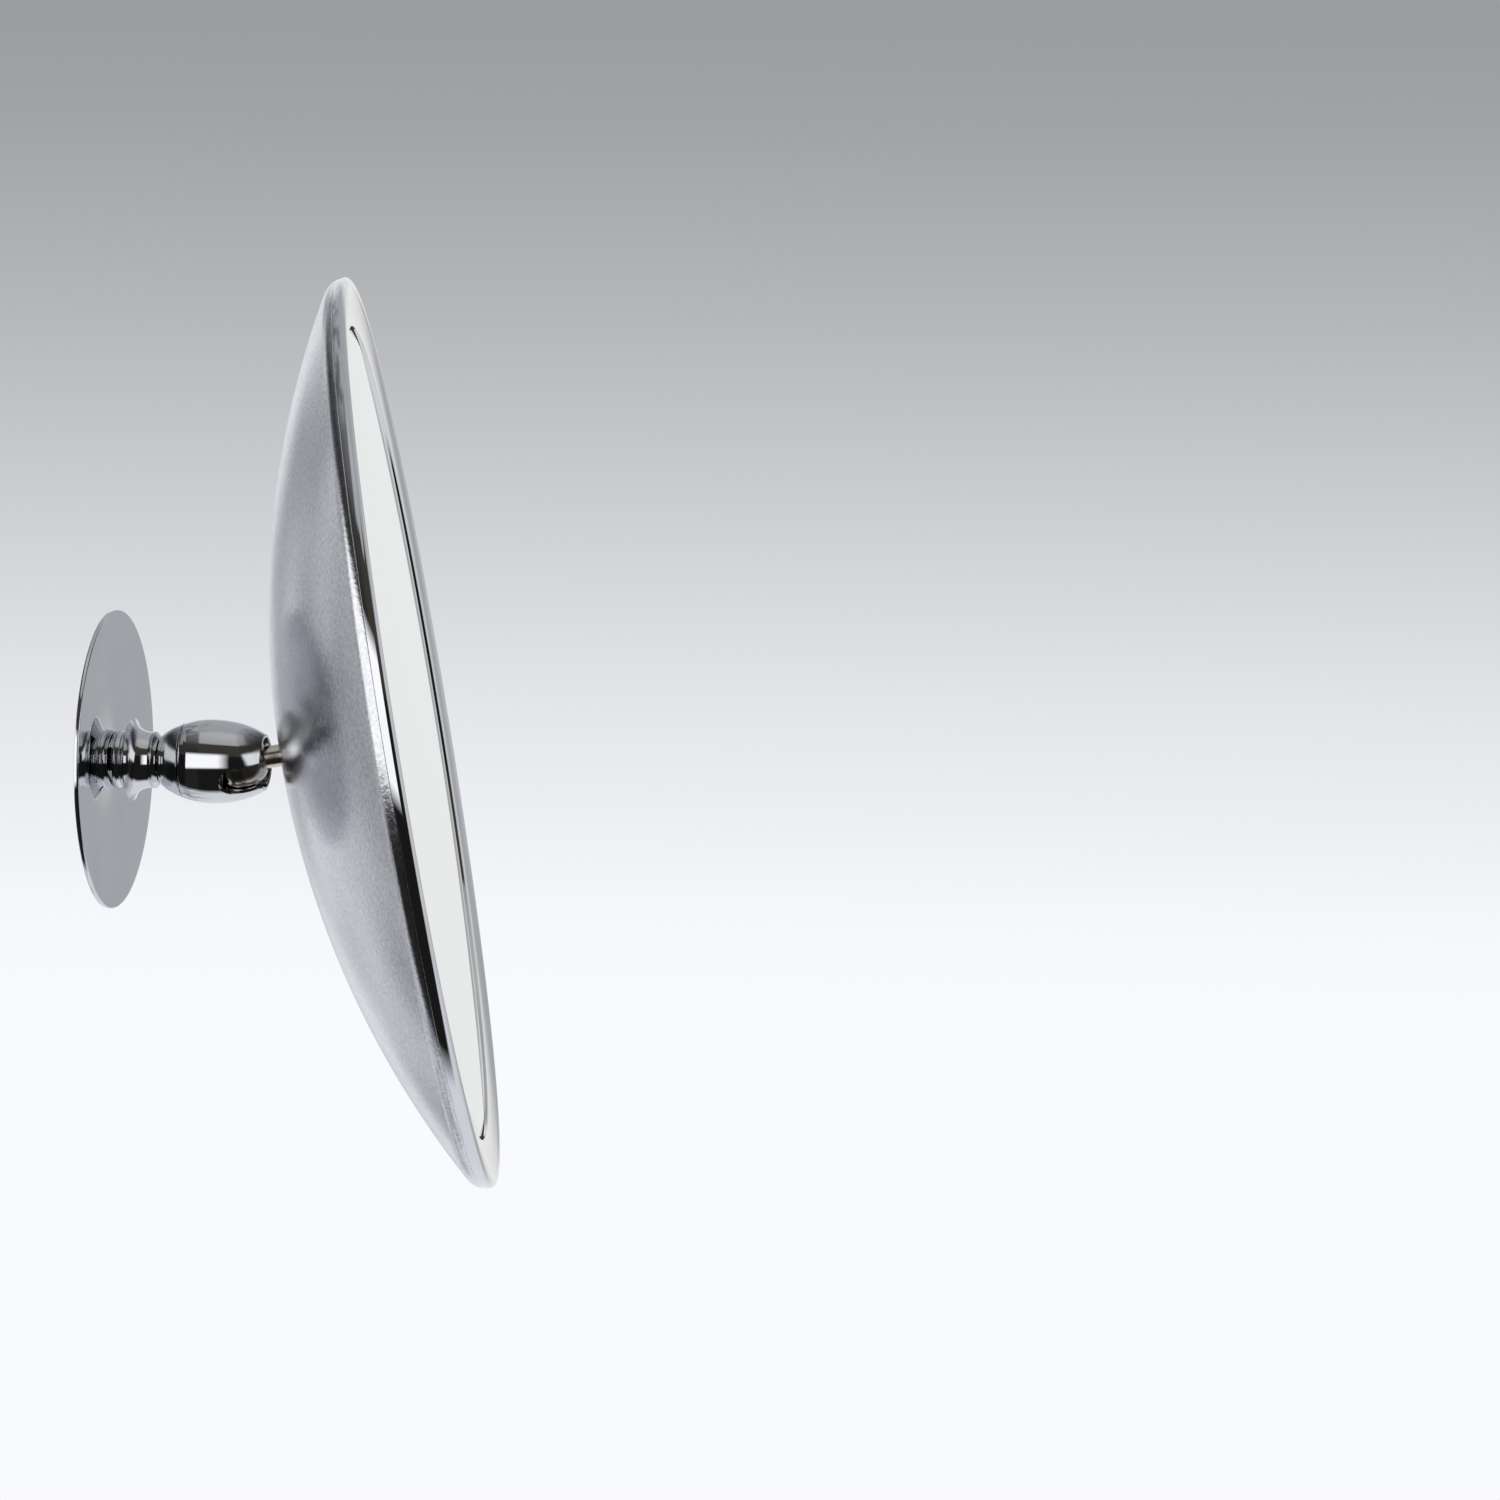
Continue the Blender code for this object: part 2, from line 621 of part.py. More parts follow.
def make_looks():
    return {
        "chrome": material("polished_chrome", (0.82, 0.83, 0.85), 0.06, 1),
        "satin": material("satin_chrome", (0.68, 0.70, 0.73), 0.28, 1),
        "nickel": material("satin_nickel", (0.66, 0.60, 0.54), 0.25, 1),
        "steel": material("zinc_steel", (0.60, 0.61, 0.63), 0.35, 1),
        "dark_steel": material("black_steel", (0.08, 0.08, 0.09), 0.4, 1),
        "brass": material("brass", (0.78, 0.62, 0.32), 0.3, 1),
        "nylon": material("white_nylon", (0.85, 0.84, 0.80), 0.5, 0),
        "rubber": material("black_rubber", (0.02, 0.02, 0.02), 0.7, 0),
        "board": material("grey_board", (0.35, 0.35, 0.36), 0.6, 0),
        "mirror": material("mirror_silver", (0.92, 0.93, 0.94), 0.01, 1),
    }


def main():
    clear_scene()
    looks = make_looks()
    arm = frame_empty("arm_axis", 0)
    head = frame_empty("ball_centre", BALL_ALONG, HEAD_PAN, HEAD_TILT)
    wall_end(arm, looks)
    neck(arm, looks)
    rear_cup(arm, looks)
    front_shell(looks)
    friction_cup(looks)
    ball_and_rod(head, looks)
    back_shell(head, looks)
    hub(head, looks)
    rim(head, looks)
    glass_pack(head, looks)


main()
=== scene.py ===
"""Looks of the wall-mounted shaving mirror: fine turned meshes, finishes, studio and camera."""

import json
from collections import namedtuple
from math import asin, atan2, cos, exp, pi, radians, sin, sqrt, tan

import bmesh
import bpy
from mathutils import Matrix, Vector


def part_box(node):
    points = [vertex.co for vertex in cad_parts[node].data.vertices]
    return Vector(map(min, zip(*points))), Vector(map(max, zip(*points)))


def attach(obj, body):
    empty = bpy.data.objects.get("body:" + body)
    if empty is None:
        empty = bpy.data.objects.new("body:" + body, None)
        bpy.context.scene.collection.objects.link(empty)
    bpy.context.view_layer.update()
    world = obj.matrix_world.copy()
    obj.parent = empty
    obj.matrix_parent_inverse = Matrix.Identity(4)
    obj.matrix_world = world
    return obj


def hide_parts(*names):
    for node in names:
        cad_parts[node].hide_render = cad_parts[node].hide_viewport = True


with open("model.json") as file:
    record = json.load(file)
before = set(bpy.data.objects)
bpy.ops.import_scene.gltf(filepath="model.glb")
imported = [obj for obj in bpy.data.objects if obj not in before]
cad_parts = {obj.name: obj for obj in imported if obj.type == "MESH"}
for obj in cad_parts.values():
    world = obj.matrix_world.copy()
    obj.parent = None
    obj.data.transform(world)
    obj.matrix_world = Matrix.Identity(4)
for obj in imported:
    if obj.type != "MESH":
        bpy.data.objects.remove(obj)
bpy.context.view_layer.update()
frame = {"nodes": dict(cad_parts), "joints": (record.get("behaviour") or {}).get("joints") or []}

MM = 0.001
FINE_STEPS = 256
SMALL_STEPS = 128
INNER_STEPS = 96
DRILL_STEPS = 64
SCREW_STEPS = 48
CORNER_STEPS = 4
# The most of a side that one rounded corner takes, a little under half.
SIDE_SHARE = 0.49
BEVEL_STEPS = 3
SHARP_ANGLE = radians(32)
THREAD_PITCH = 0.8 * MM
THREAD_DEPTH = 0.22 * MM
FOOT_STEPS = 12
FLARE_STEPS = 32
FLARE_CURVE = 1.5
# Where a thread's crest starts and ends, as shares of its pitch.
CREST_START = 0.4
CREST_END = 0.6

Span = namedtuple("Span", "start end inner outer")
JOINTS = {joint["name"]: joint for joint in frame["joints"]}
BALL = Vector(JOINTS["head_spin"]["pos_m"])


class Axis:
    """A line through the ball's centre, from which the points (radius, along) of a profile are measured."""

    def __init__(self, joint):
        direction = Vector(JOINTS[joint]["axis"]).normalized()
        turn = direction.to_track_quat("Z", "Y").to_matrix().to_4x4()
        self.direction = direction
        self.matrix = Matrix.Translation(BALL) @ turn

    def span(self, node):
        """Where a CAD node starts and ends along this axis, and its least and greatest radius."""
        along, radii = [], []
        for vertex in frame["nodes"][node].data.vertices:
            offset = vertex.co - BALL
            s = offset.dot(self.direction)
            along.append(s)
            radii.append((offset - s * self.direction).length)
        return Span(min(along), max(along), min(radii), max(radii))


ARM = Axis("socket_turn")
HEAD = Axis("head_spin")
CUP = Axis("head_spin")
PAN = atan2(HEAD.direction.x, -HEAD.direction.y)
CUP.matrix = Matrix.Translation(BALL) @ Matrix.Rotation(PAN, 4, "Z") @ Matrix.Rotation(pi / 2, 4, "X")

# Lengths along the arm are from the wall disc's front face.
SEAM = 17.55 * MM
SEAM_ROUND = 0.18 * MM
EGG_CENTRE = 24.9 * MM
EGG_REAR_HALF = 16 * MM
EGG_FRONT_HALF = 17.9 * MM
BALL_SEAT = 7.8 * MM
MOUTH_RADIUS = 6.2 * MM
SLOT_HALF_WIDTH = 3.7 * MM
SLOT_BEND = 28.4 * MM
SLOT_BEND_STEPS = 40
# The slot's direction is given with X to the right and Z up, looking at the arm from its front.
SLOT_DIRECTION = radians(211)

DISH_SPHERE = 227 * MM
DISH_THICKNESS = 1 * MM
DISH_ROLL_START = 112.3 * MM
DISH_ROLL_RADIUS = 5 * MM
DISH_ROLL_END = radians(74.1)
BEAD_HALF_WIDTH = 2.1 * MM
BEAD_HALF_HEIGHT = 1.5 * MM
BEAD_START = radians(118)
COVE_OUTER_RADIUS = 111.4 * MM
COVE_RISE = 1.2 * MM
COVE_SAG = 0.35 * MM
COVE_STEPS = 32


# ---------------------------------------------------------------- materials


# The colour sockets of Blender's Mix node, which share their names with its other sockets.
MIX_FIRST = 6
MIX_SECOND = 7
MIX_RESULT = 2


def new_material(name):
    made = bpy.data.materials.new(name)
    made.use_nodes = True
    nodes = made.node_tree.nodes
    return made, nodes, made.node_tree.links, nodes["Principled BSDF"]


def noise(nodes, links, scale, detail, roughness=0.5, over="Object"):
    """A noise on the piece's own coordinates. They are in metres, so a scale of 1000 gives 1 mm grains."""
    place = nodes.new("ShaderNodeTexCoord")
    made = nodes.new("ShaderNodeTexNoise")
    made.inputs["Scale"].default_value = scale
    made.inputs["Detail"].default_value = detail
    made.inputs["Roughness"].default_value = roughness
    links.new(place.outputs[over], made.inputs["Vector"])
    return made.outputs["Fac"]


# The part of a noise's output that is spread over the range between two values or tones.
NOISE_LOW = 0.3
NOISE_HIGH = 0.7


def remap(nodes, links, source, low, high, from_low=NOISE_LOW, from_high=NOISE_HIGH):
    made = nodes.new("ShaderNodeMapRange")
    made.inputs["From Min"].default_value = from_low
    made.inputs["From Max"].default_value = from_high
    made.inputs["To Min"].default_value = low
    made.inputs["To Max"].default_value = high
    links.new(source, made.inputs["Value"])
    return made.outputs["Result"]


def two_tone(nodes, links, source, first, second):
    ramp = nodes.new("ShaderNodeValToRGB")
    ramp.color_ramp.elements[0].position = NOISE_LOW
    ramp.color_ramp.elements[0].color = (*first, 1)
    ramp.color_ramp.elements[1].position = NOISE_HIGH
    ramp.color_ramp.elements[1].color = (*second, 1)
    links.new(source, ramp.inputs["Fac"])
    return ramp.outputs["Color"]


def bump(nodes, links, source, distance, strength=1.0, base=None):
    made = nodes.new("ShaderNodeBump")
    made.inputs["Strength"].default_value = strength
    made.inputs["Distance"].default_value = distance
    links.new(source, made.inputs["Height"])
    if base:
        links.new(base, made.inputs["Normal"])
    return made.outputs["Normal"]


def ramp(nodes, links, source, stops):
    """A colour for each value of the source. Stops rise: (value, red, green, blue) or (value, grey)."""
    made = nodes.new("ShaderNodeValToRGB")
    elements = made.color_ramp.elements
    low, high = stops[0][0], stops[-1][0]
    while len(elements) < len(stops):
        elements.new(0.5)
    for element, (value, *tone) in zip(elements, stops):
        element.position = (value - low) / (high - low)
        element.color = (*tone, 1) if len(tone) == 3 else (*tone * 3, 1)
    links.new(remap(nodes, links, source, 0, 1, low, high), made.inputs["Fac"])
    return made.outputs["Color"]


def blended(nodes, links, factor, first, second):
    """The first colour where the factor is 0, and the second where it is 1."""
    made = nodes.new("ShaderNodeMix")
    made.data_type = "RGBA"
    made.blend_type = "MIX"
    links.new(factor, made.inputs["Factor"])
    links.new(first, made.inputs[MIX_FIRST])
    links.new(second, made.inputs[MIX_SECOND])
    return made.outputs[MIX_RESULT]


def toned(nodes, links, factor, colour, level):
    """The colour, drawn towards a grey of this level by the factor."""
    made = nodes.new("ShaderNodeMix")
    made.data_type = "RGBA"
    made.blend_type = "MIX"
    links.new(factor, made.inputs["Factor"])
    links.new(colour, made.inputs[MIX_FIRST])
    made.inputs[MIX_SECOND].default_value = (level, level, level, 1)
    return made.outputs[MIX_RESULT]


def product(nodes, links, first, *others):
    """The numbers multiplied together."""
    for other in others:
        made = nodes.new("ShaderNodeMath")
        made.operation = "MULTIPLY"
        links.new(first, made.inputs[0])
        links.new(other, made.inputs[1])
        first = made.outputs[0]
    return first


def surface(name, first, second, roughness, metallic, tone_scale, grain_scale, grain_depth):
    """A finish that drifts between two tones, with a fine grain in its roughness and its height."""
    made, nodes, links, shader = new_material(name)
    tone = noise(nodes, links, tone_scale, detail=3.0)
    grain = noise(nodes, links, grain_scale, detail=4.0, roughness=0.6)
    links.new(two_tone(nodes, links, tone, first, second), shader.inputs["Base Color"])
    links.new(remap(nodes, links, grain, *roughness), shader.inputs["Roughness"])
    links.new(bump(nodes, links, grain, grain_depth), shader.inputs["Normal"])
    shader.inputs["Metallic"].default_value = metallic
    return made


def polished_chrome():
    """Bright plating: nearly a mirror, with the faint waviness and haze that polishing leaves."""
    made, nodes, links, shader = new_material("polished_chrome")
    tone = noise(nodes, links, 60, detail=2.0)
    haze = noise(nodes, links, 400, detail=5.0, roughness=0.65)
    wave = noise(nodes, links, 90, detail=1.0)
    grain = noise(nodes, links, 9000, detail=2.0)
    colour = two_tone(nodes, links, tone, (0.70, 0.71, 0.73), (0.75, 0.76, 0.78))
    links.new(colour, shader.inputs["Base Color"])
    links.new(remap(nodes, links, haze, 0.02, 0.055), shader.inputs["Roughness"])
    wavy = bump(nodes, links, wave, 0.03 * MM, 0.15)
    links.new(bump(nodes, links, grain, 0.002 * MM, 0.3, wavy), shader.inputs["Normal"])
    shader.inputs["Metallic"].default_value = 1
    return made


def satin_chrome():
    """Pearl chrome: plating over a blasted face, a soft reflection broken up by a sparkling grain."""
    made, nodes, links, shader = new_material("satin_chrome")
    tone = noise(nodes, links, 25, detail=2.0)
    patches = noise(nodes, links, 300, detail=3.0)
    grain = noise(nodes, links, 1000, detail=2.0, roughness=0.6)
    pits = two_tone(nodes, links, tone, (0.62, 0.63, 0.65), (0.66, 0.67, 0.69))
    peaks = two_tone(nodes, links, tone, (0.79, 0.80, 0.83), (0.83, 0.84, 0.87))
    colour = blended(nodes, links, remap(nodes, links, grain, 0, 1, 0.35, 0.65), pits, peaks)
    links.new(colour, shader.inputs["Base Color"])
    links.new(remap(nodes, links, patches, 0.14, 0.20), shader.inputs["Roughness"])
    links.new(bump(nodes, links, grain, 0.09 * MM, 0.5), shader.inputs["Normal"])
    shader.inputs["Metallic"].default_value = 1
    return made


def mirror_silver():
    """Silvering seen through float glass, with hardly any haze."""
    made, nodes, links, shader = new_material("mirror_silver")
    tone = noise(nodes, links, 15, detail=1.0)
    dust = noise(nodes, links, 700, detail=6.0, roughness=0.7)
    colour = two_tone(nodes, links, tone, (0.88, 0.895, 0.89), (0.90, 0.91, 0.905))
    links.new(colour, shader.inputs["Base Color"])
    links.new(remap(nodes, links, dust, 0.002, 0.012, 0.5, 0.8), shader.inputs["Roughness"])
    shader.inputs["Metallic"].default_value = 1
    return made


def make_materials():
    return {
        "polished_chrome": polished_chrome(),
        "satin_chrome": satin_chrome(),
        "mirror_silver": mirror_silver(),
        "glass_edge": surface(
            "glass_edge", (0.42, 0.52, 0.48), (0.50, 0.58, 0.55), (0.18, 0.32), 0.35, 50, 5000, 0.01 * MM
        ),
        "satin_nickel": surface(
            "satin_nickel", (0.62, 0.57, 0.51), (0.70, 0.65, 0.59), (0.16, 0.26), 1, 200, 4000, 0.006 * MM
        ),
        "zinc_steel": surface(
            "zinc_steel", (0.50, 0.51, 0.53), (0.60, 0.60, 0.60), (0.28, 0.46), 1, 180, 1800, 0.012 * MM
        ),
        "black_steel": surface(
            "black_steel", (0.03, 0.03, 0.035), (0.07, 0.07, 0.075), (0.30, 0.45), 0.8, 400, 3000, 0.01 * MM
        ),
        "brass": surface(
            "brass", (0.62, 0.46, 0.20), (0.74, 0.58, 0.28), (0.20, 0.34), 1, 300, 2500, 0.008 * MM
        ),
        "white_nylon": surface(
            "white_nylon", (0.72, 0.71, 0.66), (0.80, 0.79, 0.74), (0.38, 0.52), 0, 150, 1500, 0.01 * MM
        ),
        "black_rubber": surface(
            "black_rubber",
            (0.012, 0.012, 0.013),
            (0.022, 0.022, 0.024),
            (0.55, 0.75),
            0,
            120,
            2000,
            0.03 * MM,
        ),
        "grey_board": surface(
            "grey_board", (0.16, 0.16, 0.16), (0.24, 0.235, 0.23), (0.60, 0.80), 0, 60, 1200, 0.04 * MM
        ),
    }


# ---------------------------------------------------------------- shapes


def arc(centre_radius, centre_along, radius, start, end, count):
    angles = [start + (end - start) * i / count for i in range(count + 1)]
    return [(centre_radius + radius * cos(a), centre_along + radius * sin(a)) for a in angles]


def softened(profile, ring):
    """The profile with each corner that carries a third number rounded to that radius."""
    made = []
    count = len(profile)
    for i, point in enumerate(profile):
        here = Vector(point[:2])
        if len(point) < 3 or (not ring and i in (0, count - 1)):
            made.append(tuple(here))
            continue
        before = Vector(profile[i - 1][:2]) - here
        after = Vector(profile[(i + 1) % count][:2]) - here
        half = before.angle(after) / 2
        reach = min(point[2] / tan(half), before.length * SIDE_SHARE, after.length * SIDE_SHARE)
        radius = reach * tan(half)
        centre = here + (before.normalized() + after.normalized()).normalized() * (radius / sin(half))
        first = here + before.normalized() * reach - centre
        last = here + after.normalized() * reach - centre
        start = atan2(first.y, first.x)
        sweep = (atan2(last.y, last.x) - start + pi) % (2 * pi) - pi
        made += [
            (centre.x + radius * cos(turn), centre.y + radius * sin(turn))
            for turn in (start + sweep * k / CORNER_STEPS for k in range(CORNER_STEPS + 1))
        ]
    return made


def thread(radius, start, end):
    """Ridges of a thread along a cylinder of this outer radius, as points from start to end."""
    step = THREAD_PITCH if end > start else -THREAD_PITCH
    points = []
    s = start
    while abs(s + step - start) <= abs(end - start):
        points += [
            (radius - THREAD_DEPTH, s),
            (radius, s + CREST_START * step),
            (radius, s + CREST_END * step),
        ]
        s += step
    return [*points, (radius - THREAD_DEPTH, s), (radius - THREAD_DEPTH, end)]


def finish_mesh(name, shape, materials):
    bmesh.ops.recalc_face_normals(shape, faces=shape.faces)
    if shape.calc_volume(signed=True) < 0:
        bmesh.ops.reverse_faces(shape, faces=shape.faces)
    mesh = bpy.data.meshes.new(name)
    shape.to_mesh(mesh)
    shape.free()
    mesh.shade_smooth()
    mesh.set_sharp_from_angle(angle=SHARP_ANGLE)
    obj = bpy.data.objects.new(name, mesh)
    bpy.context.scene.collection.objects.link(obj)
    for each in materials:
        mesh.materials.append(each)
    return obj


def turned(name, profile, axis, looks, steps, ring=False, sweep=2 * pi):
    """Turns the profile about the axis. A sweep short of a full turn leaves a split ring with closed ends."""
    shape = bmesh.new()
    outline = softened(profile, ring)
    full = sweep > 2 * pi - 1e-6
    columns = steps if full else steps + 1
    grid = []
    for radius, along in outline:
        if radius < 1e-7:
            grid.append([shape.verts.new((0, 0, along))] * columns)
            continue
        turn = [sweep * k / steps for k in range(columns)]
        grid.append([shape.verts.new((radius * cos(t), radius * sin(t), along)) for t in turn])
    rows = list(zip(grid, grid[1:]))
    if ring:
        rows.append((grid[-1], grid[0]))
    for low, high in rows:
        for k in range(steps):
            after = (k + 1) % columns
            corners = [low[k], low[after], high[after], high[k]]
            unique = list(dict.fromkeys(corners))
            if len(unique) > 2:
                shape.faces.new(unique)
    if not full:
        shape.faces.new([row[0] for row in grid])
        shape.faces.new([row[-1] for row in grid])
    shape.transform(axis.matrix)
    return finish_mesh(name, shape, looks)


def prism(name, outline, height, matrix, looks):
    shape = bmesh.new()
    low = [shape.verts.new((x, y, 0)) for x, y in outline]
    high = [shape.verts.new((x, y, height)) for x, y in outline]
    shape.faces.new(low)
    shape.faces.new(high)
    for k in range(len(outline)):
        after = (k + 1) % len(outline)
        shape.faces.new([low[k], low[after], high[after], high[k]])
    shape.transform(matrix)
    return finish_mesh(name, shape, looks)


def circle(radius, count):
    angles = [2 * pi * i / count for i in range(count)]
    return [(radius * cos(a), radius * sin(a)) for a in angles]


def carve(piece, cutter, operation="DIFFERENCE"):
    """Cuts the cutter out of the piece at once and removes it."""
    boolean = piece.modifiers.new("carve", "BOOLEAN")
    boolean.operation = operation
    boolean.solver = "EXACT"
    boolean.object = cutter
    settle(piece)
    bpy.data.objects.remove(cutter, do_unlink=True)


def settle(piece):
    """Replaces the piece's mesh with its modifiers' result."""
    graph = bpy.context.evaluated_depsgraph_get()
    mesh = bpy.data.meshes.new_from_object(piece.evaluated_get(graph))
    piece.modifiers.clear()
    piece.data = mesh
    mesh.shade_smooth()
    mesh.set_sharp_from_angle(angle=SHARP_ANGLE)


def soften_edges(piece, width, angle):
    bevel = piece.modifiers.new("soften", "BEVEL")
    bevel.width = width
    bevel.segments = BEVEL_STEPS
    bevel.limit_method = "ANGLE"
    bevel.angle_limit = angle
    bevel.use_clamp_overlap = True
    bevel.harden_normals = False
    settle(piece)


def stands_for(piece, node, body):
    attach(piece, body)
    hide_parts(node)
    return piece


# ---------------------------------------------------------------- wall end


def wall_plate(looks):
    """The thin disc on the wall, with a rounded edge."""
    plate = ARM.span("wall_plate")
    edge = 0.5 * MM
    profile = [
        (plate.inner, plate.start, 0.1 * MM),
        (plate.outer, plate.start, 0.5 * MM),
        *arc(plate.outer - edge, plate.end - edge, edge, 0, pi / 2, 16),
        (plate.inner, plate.end, 0.15 * MM),
    ]
    made = turned("wall_plate_fine", profile, ARM, [looks["polished_chrome"]], FINE_STEPS, ring=True)
    return stands_for(made, "wall_plate", "wall_unit")


def mounting_disc(looks):
    """The hidden disc with its two countersunk wall holes and a rounded front edge."""
    disc = ARM.span("mounting_disc")
    seat = 3.3 * MM
    floor = disc.end - 1.6 * MM
    profile = [
        (0, disc.start),
        (disc.outer - 0.2 * MM, disc.start, 0.05 * MM),
        (disc.outer, disc.start + 0.2 * MM, 0.1 * MM),
        (disc.outer, disc.end, 0.45 * MM),
        (seat + 4 * MM, disc.end, 0.1 * MM),
        (seat + 3.8 * MM, disc.end - 0.2 * MM, 0.1 * MM),
        (seat + 0.3 * MM, disc.end - 0.2 * MM, 0.1 * MM),
        (seat, disc.end - 0.5 * MM, 0.1 * MM),
        (seat, floor, 0.2 * MM),
        (0, floor),
    ]
    made = turned("mounting_disc_fine", profile, ARM, [looks["zinc_steel"]], FINE_STEPS)
    hole, head = 2.3 * MM, 4.3 * MM
    for side in (-1, 1):
        drill = [
            (0, disc.start - MM),
            (hole + 1.3 * MM, disc.start - MM),
            (hole, disc.start + 0.3 * MM),
            (hole, disc.end - (head - hole), 0.1 * MM),
            (head, disc.end, 0.15 * MM),
            (head, disc.end + MM),
            (0, disc.end + MM),
        ]
        cutter = turned("wall_hole", drill, ARM, [], DRILL_STEPS)
        cutter.data.transform(Matrix.Translation((side * 17 * MM, 0, 0)))
        carve(made, cutter)
    return stands_for(made, "mounting_disc", "wall_unit")


def neck_stud(looks):
    stud = ARM.span("neck_stud")
    chamfer = 0.45 * MM
    ridges = thread(stud.outer, stud.start + chamfer, stud.end - 1.4 * MM)
    tip = stud.end - 0.8 * MM
    profile = [
        (0, stud.start),
        (stud.outer - chamfer, stud.start, 0.05 * MM),
        *ridges,
        (stud.outer - THREAD_DEPTH, tip),
        (stud.outer - 1.1 * MM, stud.end, 0.1 * MM),
        (0, stud.end),
    ]
    made = turned("neck_stud_threaded", profile, ARM, [looks["zinc_steel"]], INNER_STEPS)
    return stands_for(made, "neck_stud", "wall_unit")


def neck_spindle(looks):
    """The turned neck: a ringed foot, a flared collar, a pointed ring and a threaded end in the housing."""
    neck = ARM.span("neck_spindle")
    front = ARM.span("wall_plate").end
    thread_radius = ARM.span("neck_stud").outer

    def at(radius, along, soft=None):
        point = (radius * MM, front + along * MM)
        return (*point, soft * MM) if soft else point

    foot = []
    for k in range(FOOT_STEPS + 1):
        foot.append(at(6.95 + 0.4 * sin(pi / 2 * k / FOOT_STEPS), 0.4 + 0.9 * k / FOOT_STEPS))
    for k in range(1, FOOT_STEPS + 1):
        foot.append(at(7.35 - 0.35 * sin(pi / 2 * k / FOOT_STEPS) ** 2, 1.3 + 0.8 * k / FOOT_STEPS))
    flare = []
    for i in range(FLARE_STEPS + 1):
        run = 5.2 * (i / FLARE_STEPS) ** FLARE_CURVE
        flare.append(at(6.8 + 3.6 * exp(-run / 1.55), 4.3 + run))
    profile = [
        at(0, 8),
        at(3.3, 8, 0.2),
        at(3.3, 0.3, 0.25),
        at(6.95, 0.3, 0.15),
        *foot,
        at(7.1, 2.3, 0.1),
        at(7.45, 2.42, 0.12),
        at(7.45, 2.55, 0.12),
        at(10.18, 4.02, 0.12),
        *flare,
        at(6.92, 9.5, 0.3),
        at(7.2, 10.3, 0.16),
        at(5.9, 11.4, 0.15),
        (thread_radius - THREAD_DEPTH, front + 11.45 * MM),
        *thread(thread_radius, front + 11.5 * MM, neck.end - 0.9 * MM),
        (thread_radius - THREAD_DEPTH, neck.end - 0.5 * MM),
        (thread_radius - 0.8 * MM, neck.end, 0.1 * MM),
        (0, neck.end),
    ]
    made = turned("neck_spindle_fine", profile, ARM, [looks["polished_chrome"]], FINE_STEPS)
    place = grub_matrix() @ Matrix.Translation((0, 0, 3 * MM))
    carve(made, prism("grub_hole", circle(1.5 * MM, SCREW_STEPS), 12 * MM, place, []))
    return stands_for(made, "neck_spindle", "wall_unit")


def grub_matrix():
    """Local +Z points straight down from the arm's axis, through the locking screw's centre."""
    low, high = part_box("neck_grub_screw")
    return Matrix.Translation((BALL.x, (low.y + high.y) / 2, BALL.z)) @ Matrix.Rotation(pi, 4, "X")


def grub_screw(looks):
    low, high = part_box("neck_grub_screw")
    radius = (high.y - low.y) / 2
    start, end = BALL.z - high.z, BALL.z - low.z
    down = Axis("socket_turn")
    down.matrix = grub_matrix()
    profile = [
        (0, start),
        (radius * 0.45, start, 0.05 * MM),
        (radius * 0.9, start + 0.45 * MM, 0.05 * MM),
        (radius, start + 0.6 * MM, 0.05 * MM),
        (radius, end - 0.15 * MM, 0.05 * MM),
        (radius - 0.15 * MM, end, 0.03 * MM),
        (0, end),
    ]
    made = turned("neck_grub_screw_fine", profile, down, [looks["black_steel"]], SCREW_STEPS)
    socket_start = Matrix.Translation((0, 0, end - 1.3 * MM))
    carve(made, prism("grub_socket", circle(0.6 * MM, 6), 2 * MM, grub_matrix() @ socket_start, []))
    return stands_for(made, "neck_grub_screw", "wall_unit")


# ---------------------------------------------------------------- ball housing


def egg(radius, centre, rear, front, start, end, count):
    """Points on the egg's outline between two places along the arm."""
    points = []
    for i in range(count + 1):
        s = start + (end - start) * i / count
        half = rear if s < centre else front
        points.append((radius * sqrt(max(0.0, 1 - ((s - centre) / half) ** 2)), s))
    return points


def egg_shape():
    """The wall disc's front, and the egg's radius, widest place and half lengths behind it and before it."""
    front = ARM.span("wall_plate").end
    radius = ARM.span("socket_front_shell").outer
    return front, radius, front + EGG_CENTRE, EGG_REAR_HALF, EGG_FRONT_HALF


def rear_cup(looks):
    cup = ARM.span("socket_rear_cup")
    front, radius, centre, rear, fore = egg_shape()
    seam = front + SEAM
    spigot, bore = 8 * MM, 6.8 * MM
    outside = egg(radius, centre, rear, fore, cup.start + 0.15 * MM, seam - SEAM_ROUND, 32)
    bore_start = front + 17 * MM
    profile = [
        (cup.inner, cup.start, 0.2 * MM),
        (outside[0][0] - 0.25 * MM, cup.start, 0.12 * MM),
        *outside,
        (outside[-1][0] - 0.2 * MM, seam, 0.1 * MM),
        (spigot - THREAD_DEPTH, seam),
        *thread(spigot, seam + 0.3 * MM, cup.end - 0.6 * MM),
        (spigot - 0.45 * MM, cup.end, 0.05 * MM),
        (bore, cup.end, 0.15 * MM),
        (bore, bore_start, 0.3 * MM),
        (cup.inner, bore_start, 0.2 * MM),
    ]
    made = turned("socket_rear_cup_fine", profile, ARM, [looks["polished_chrome"]], FINE_STEPS, ring=True)
    return stands_for(made, "socket_rear_cup", "wall_unit")


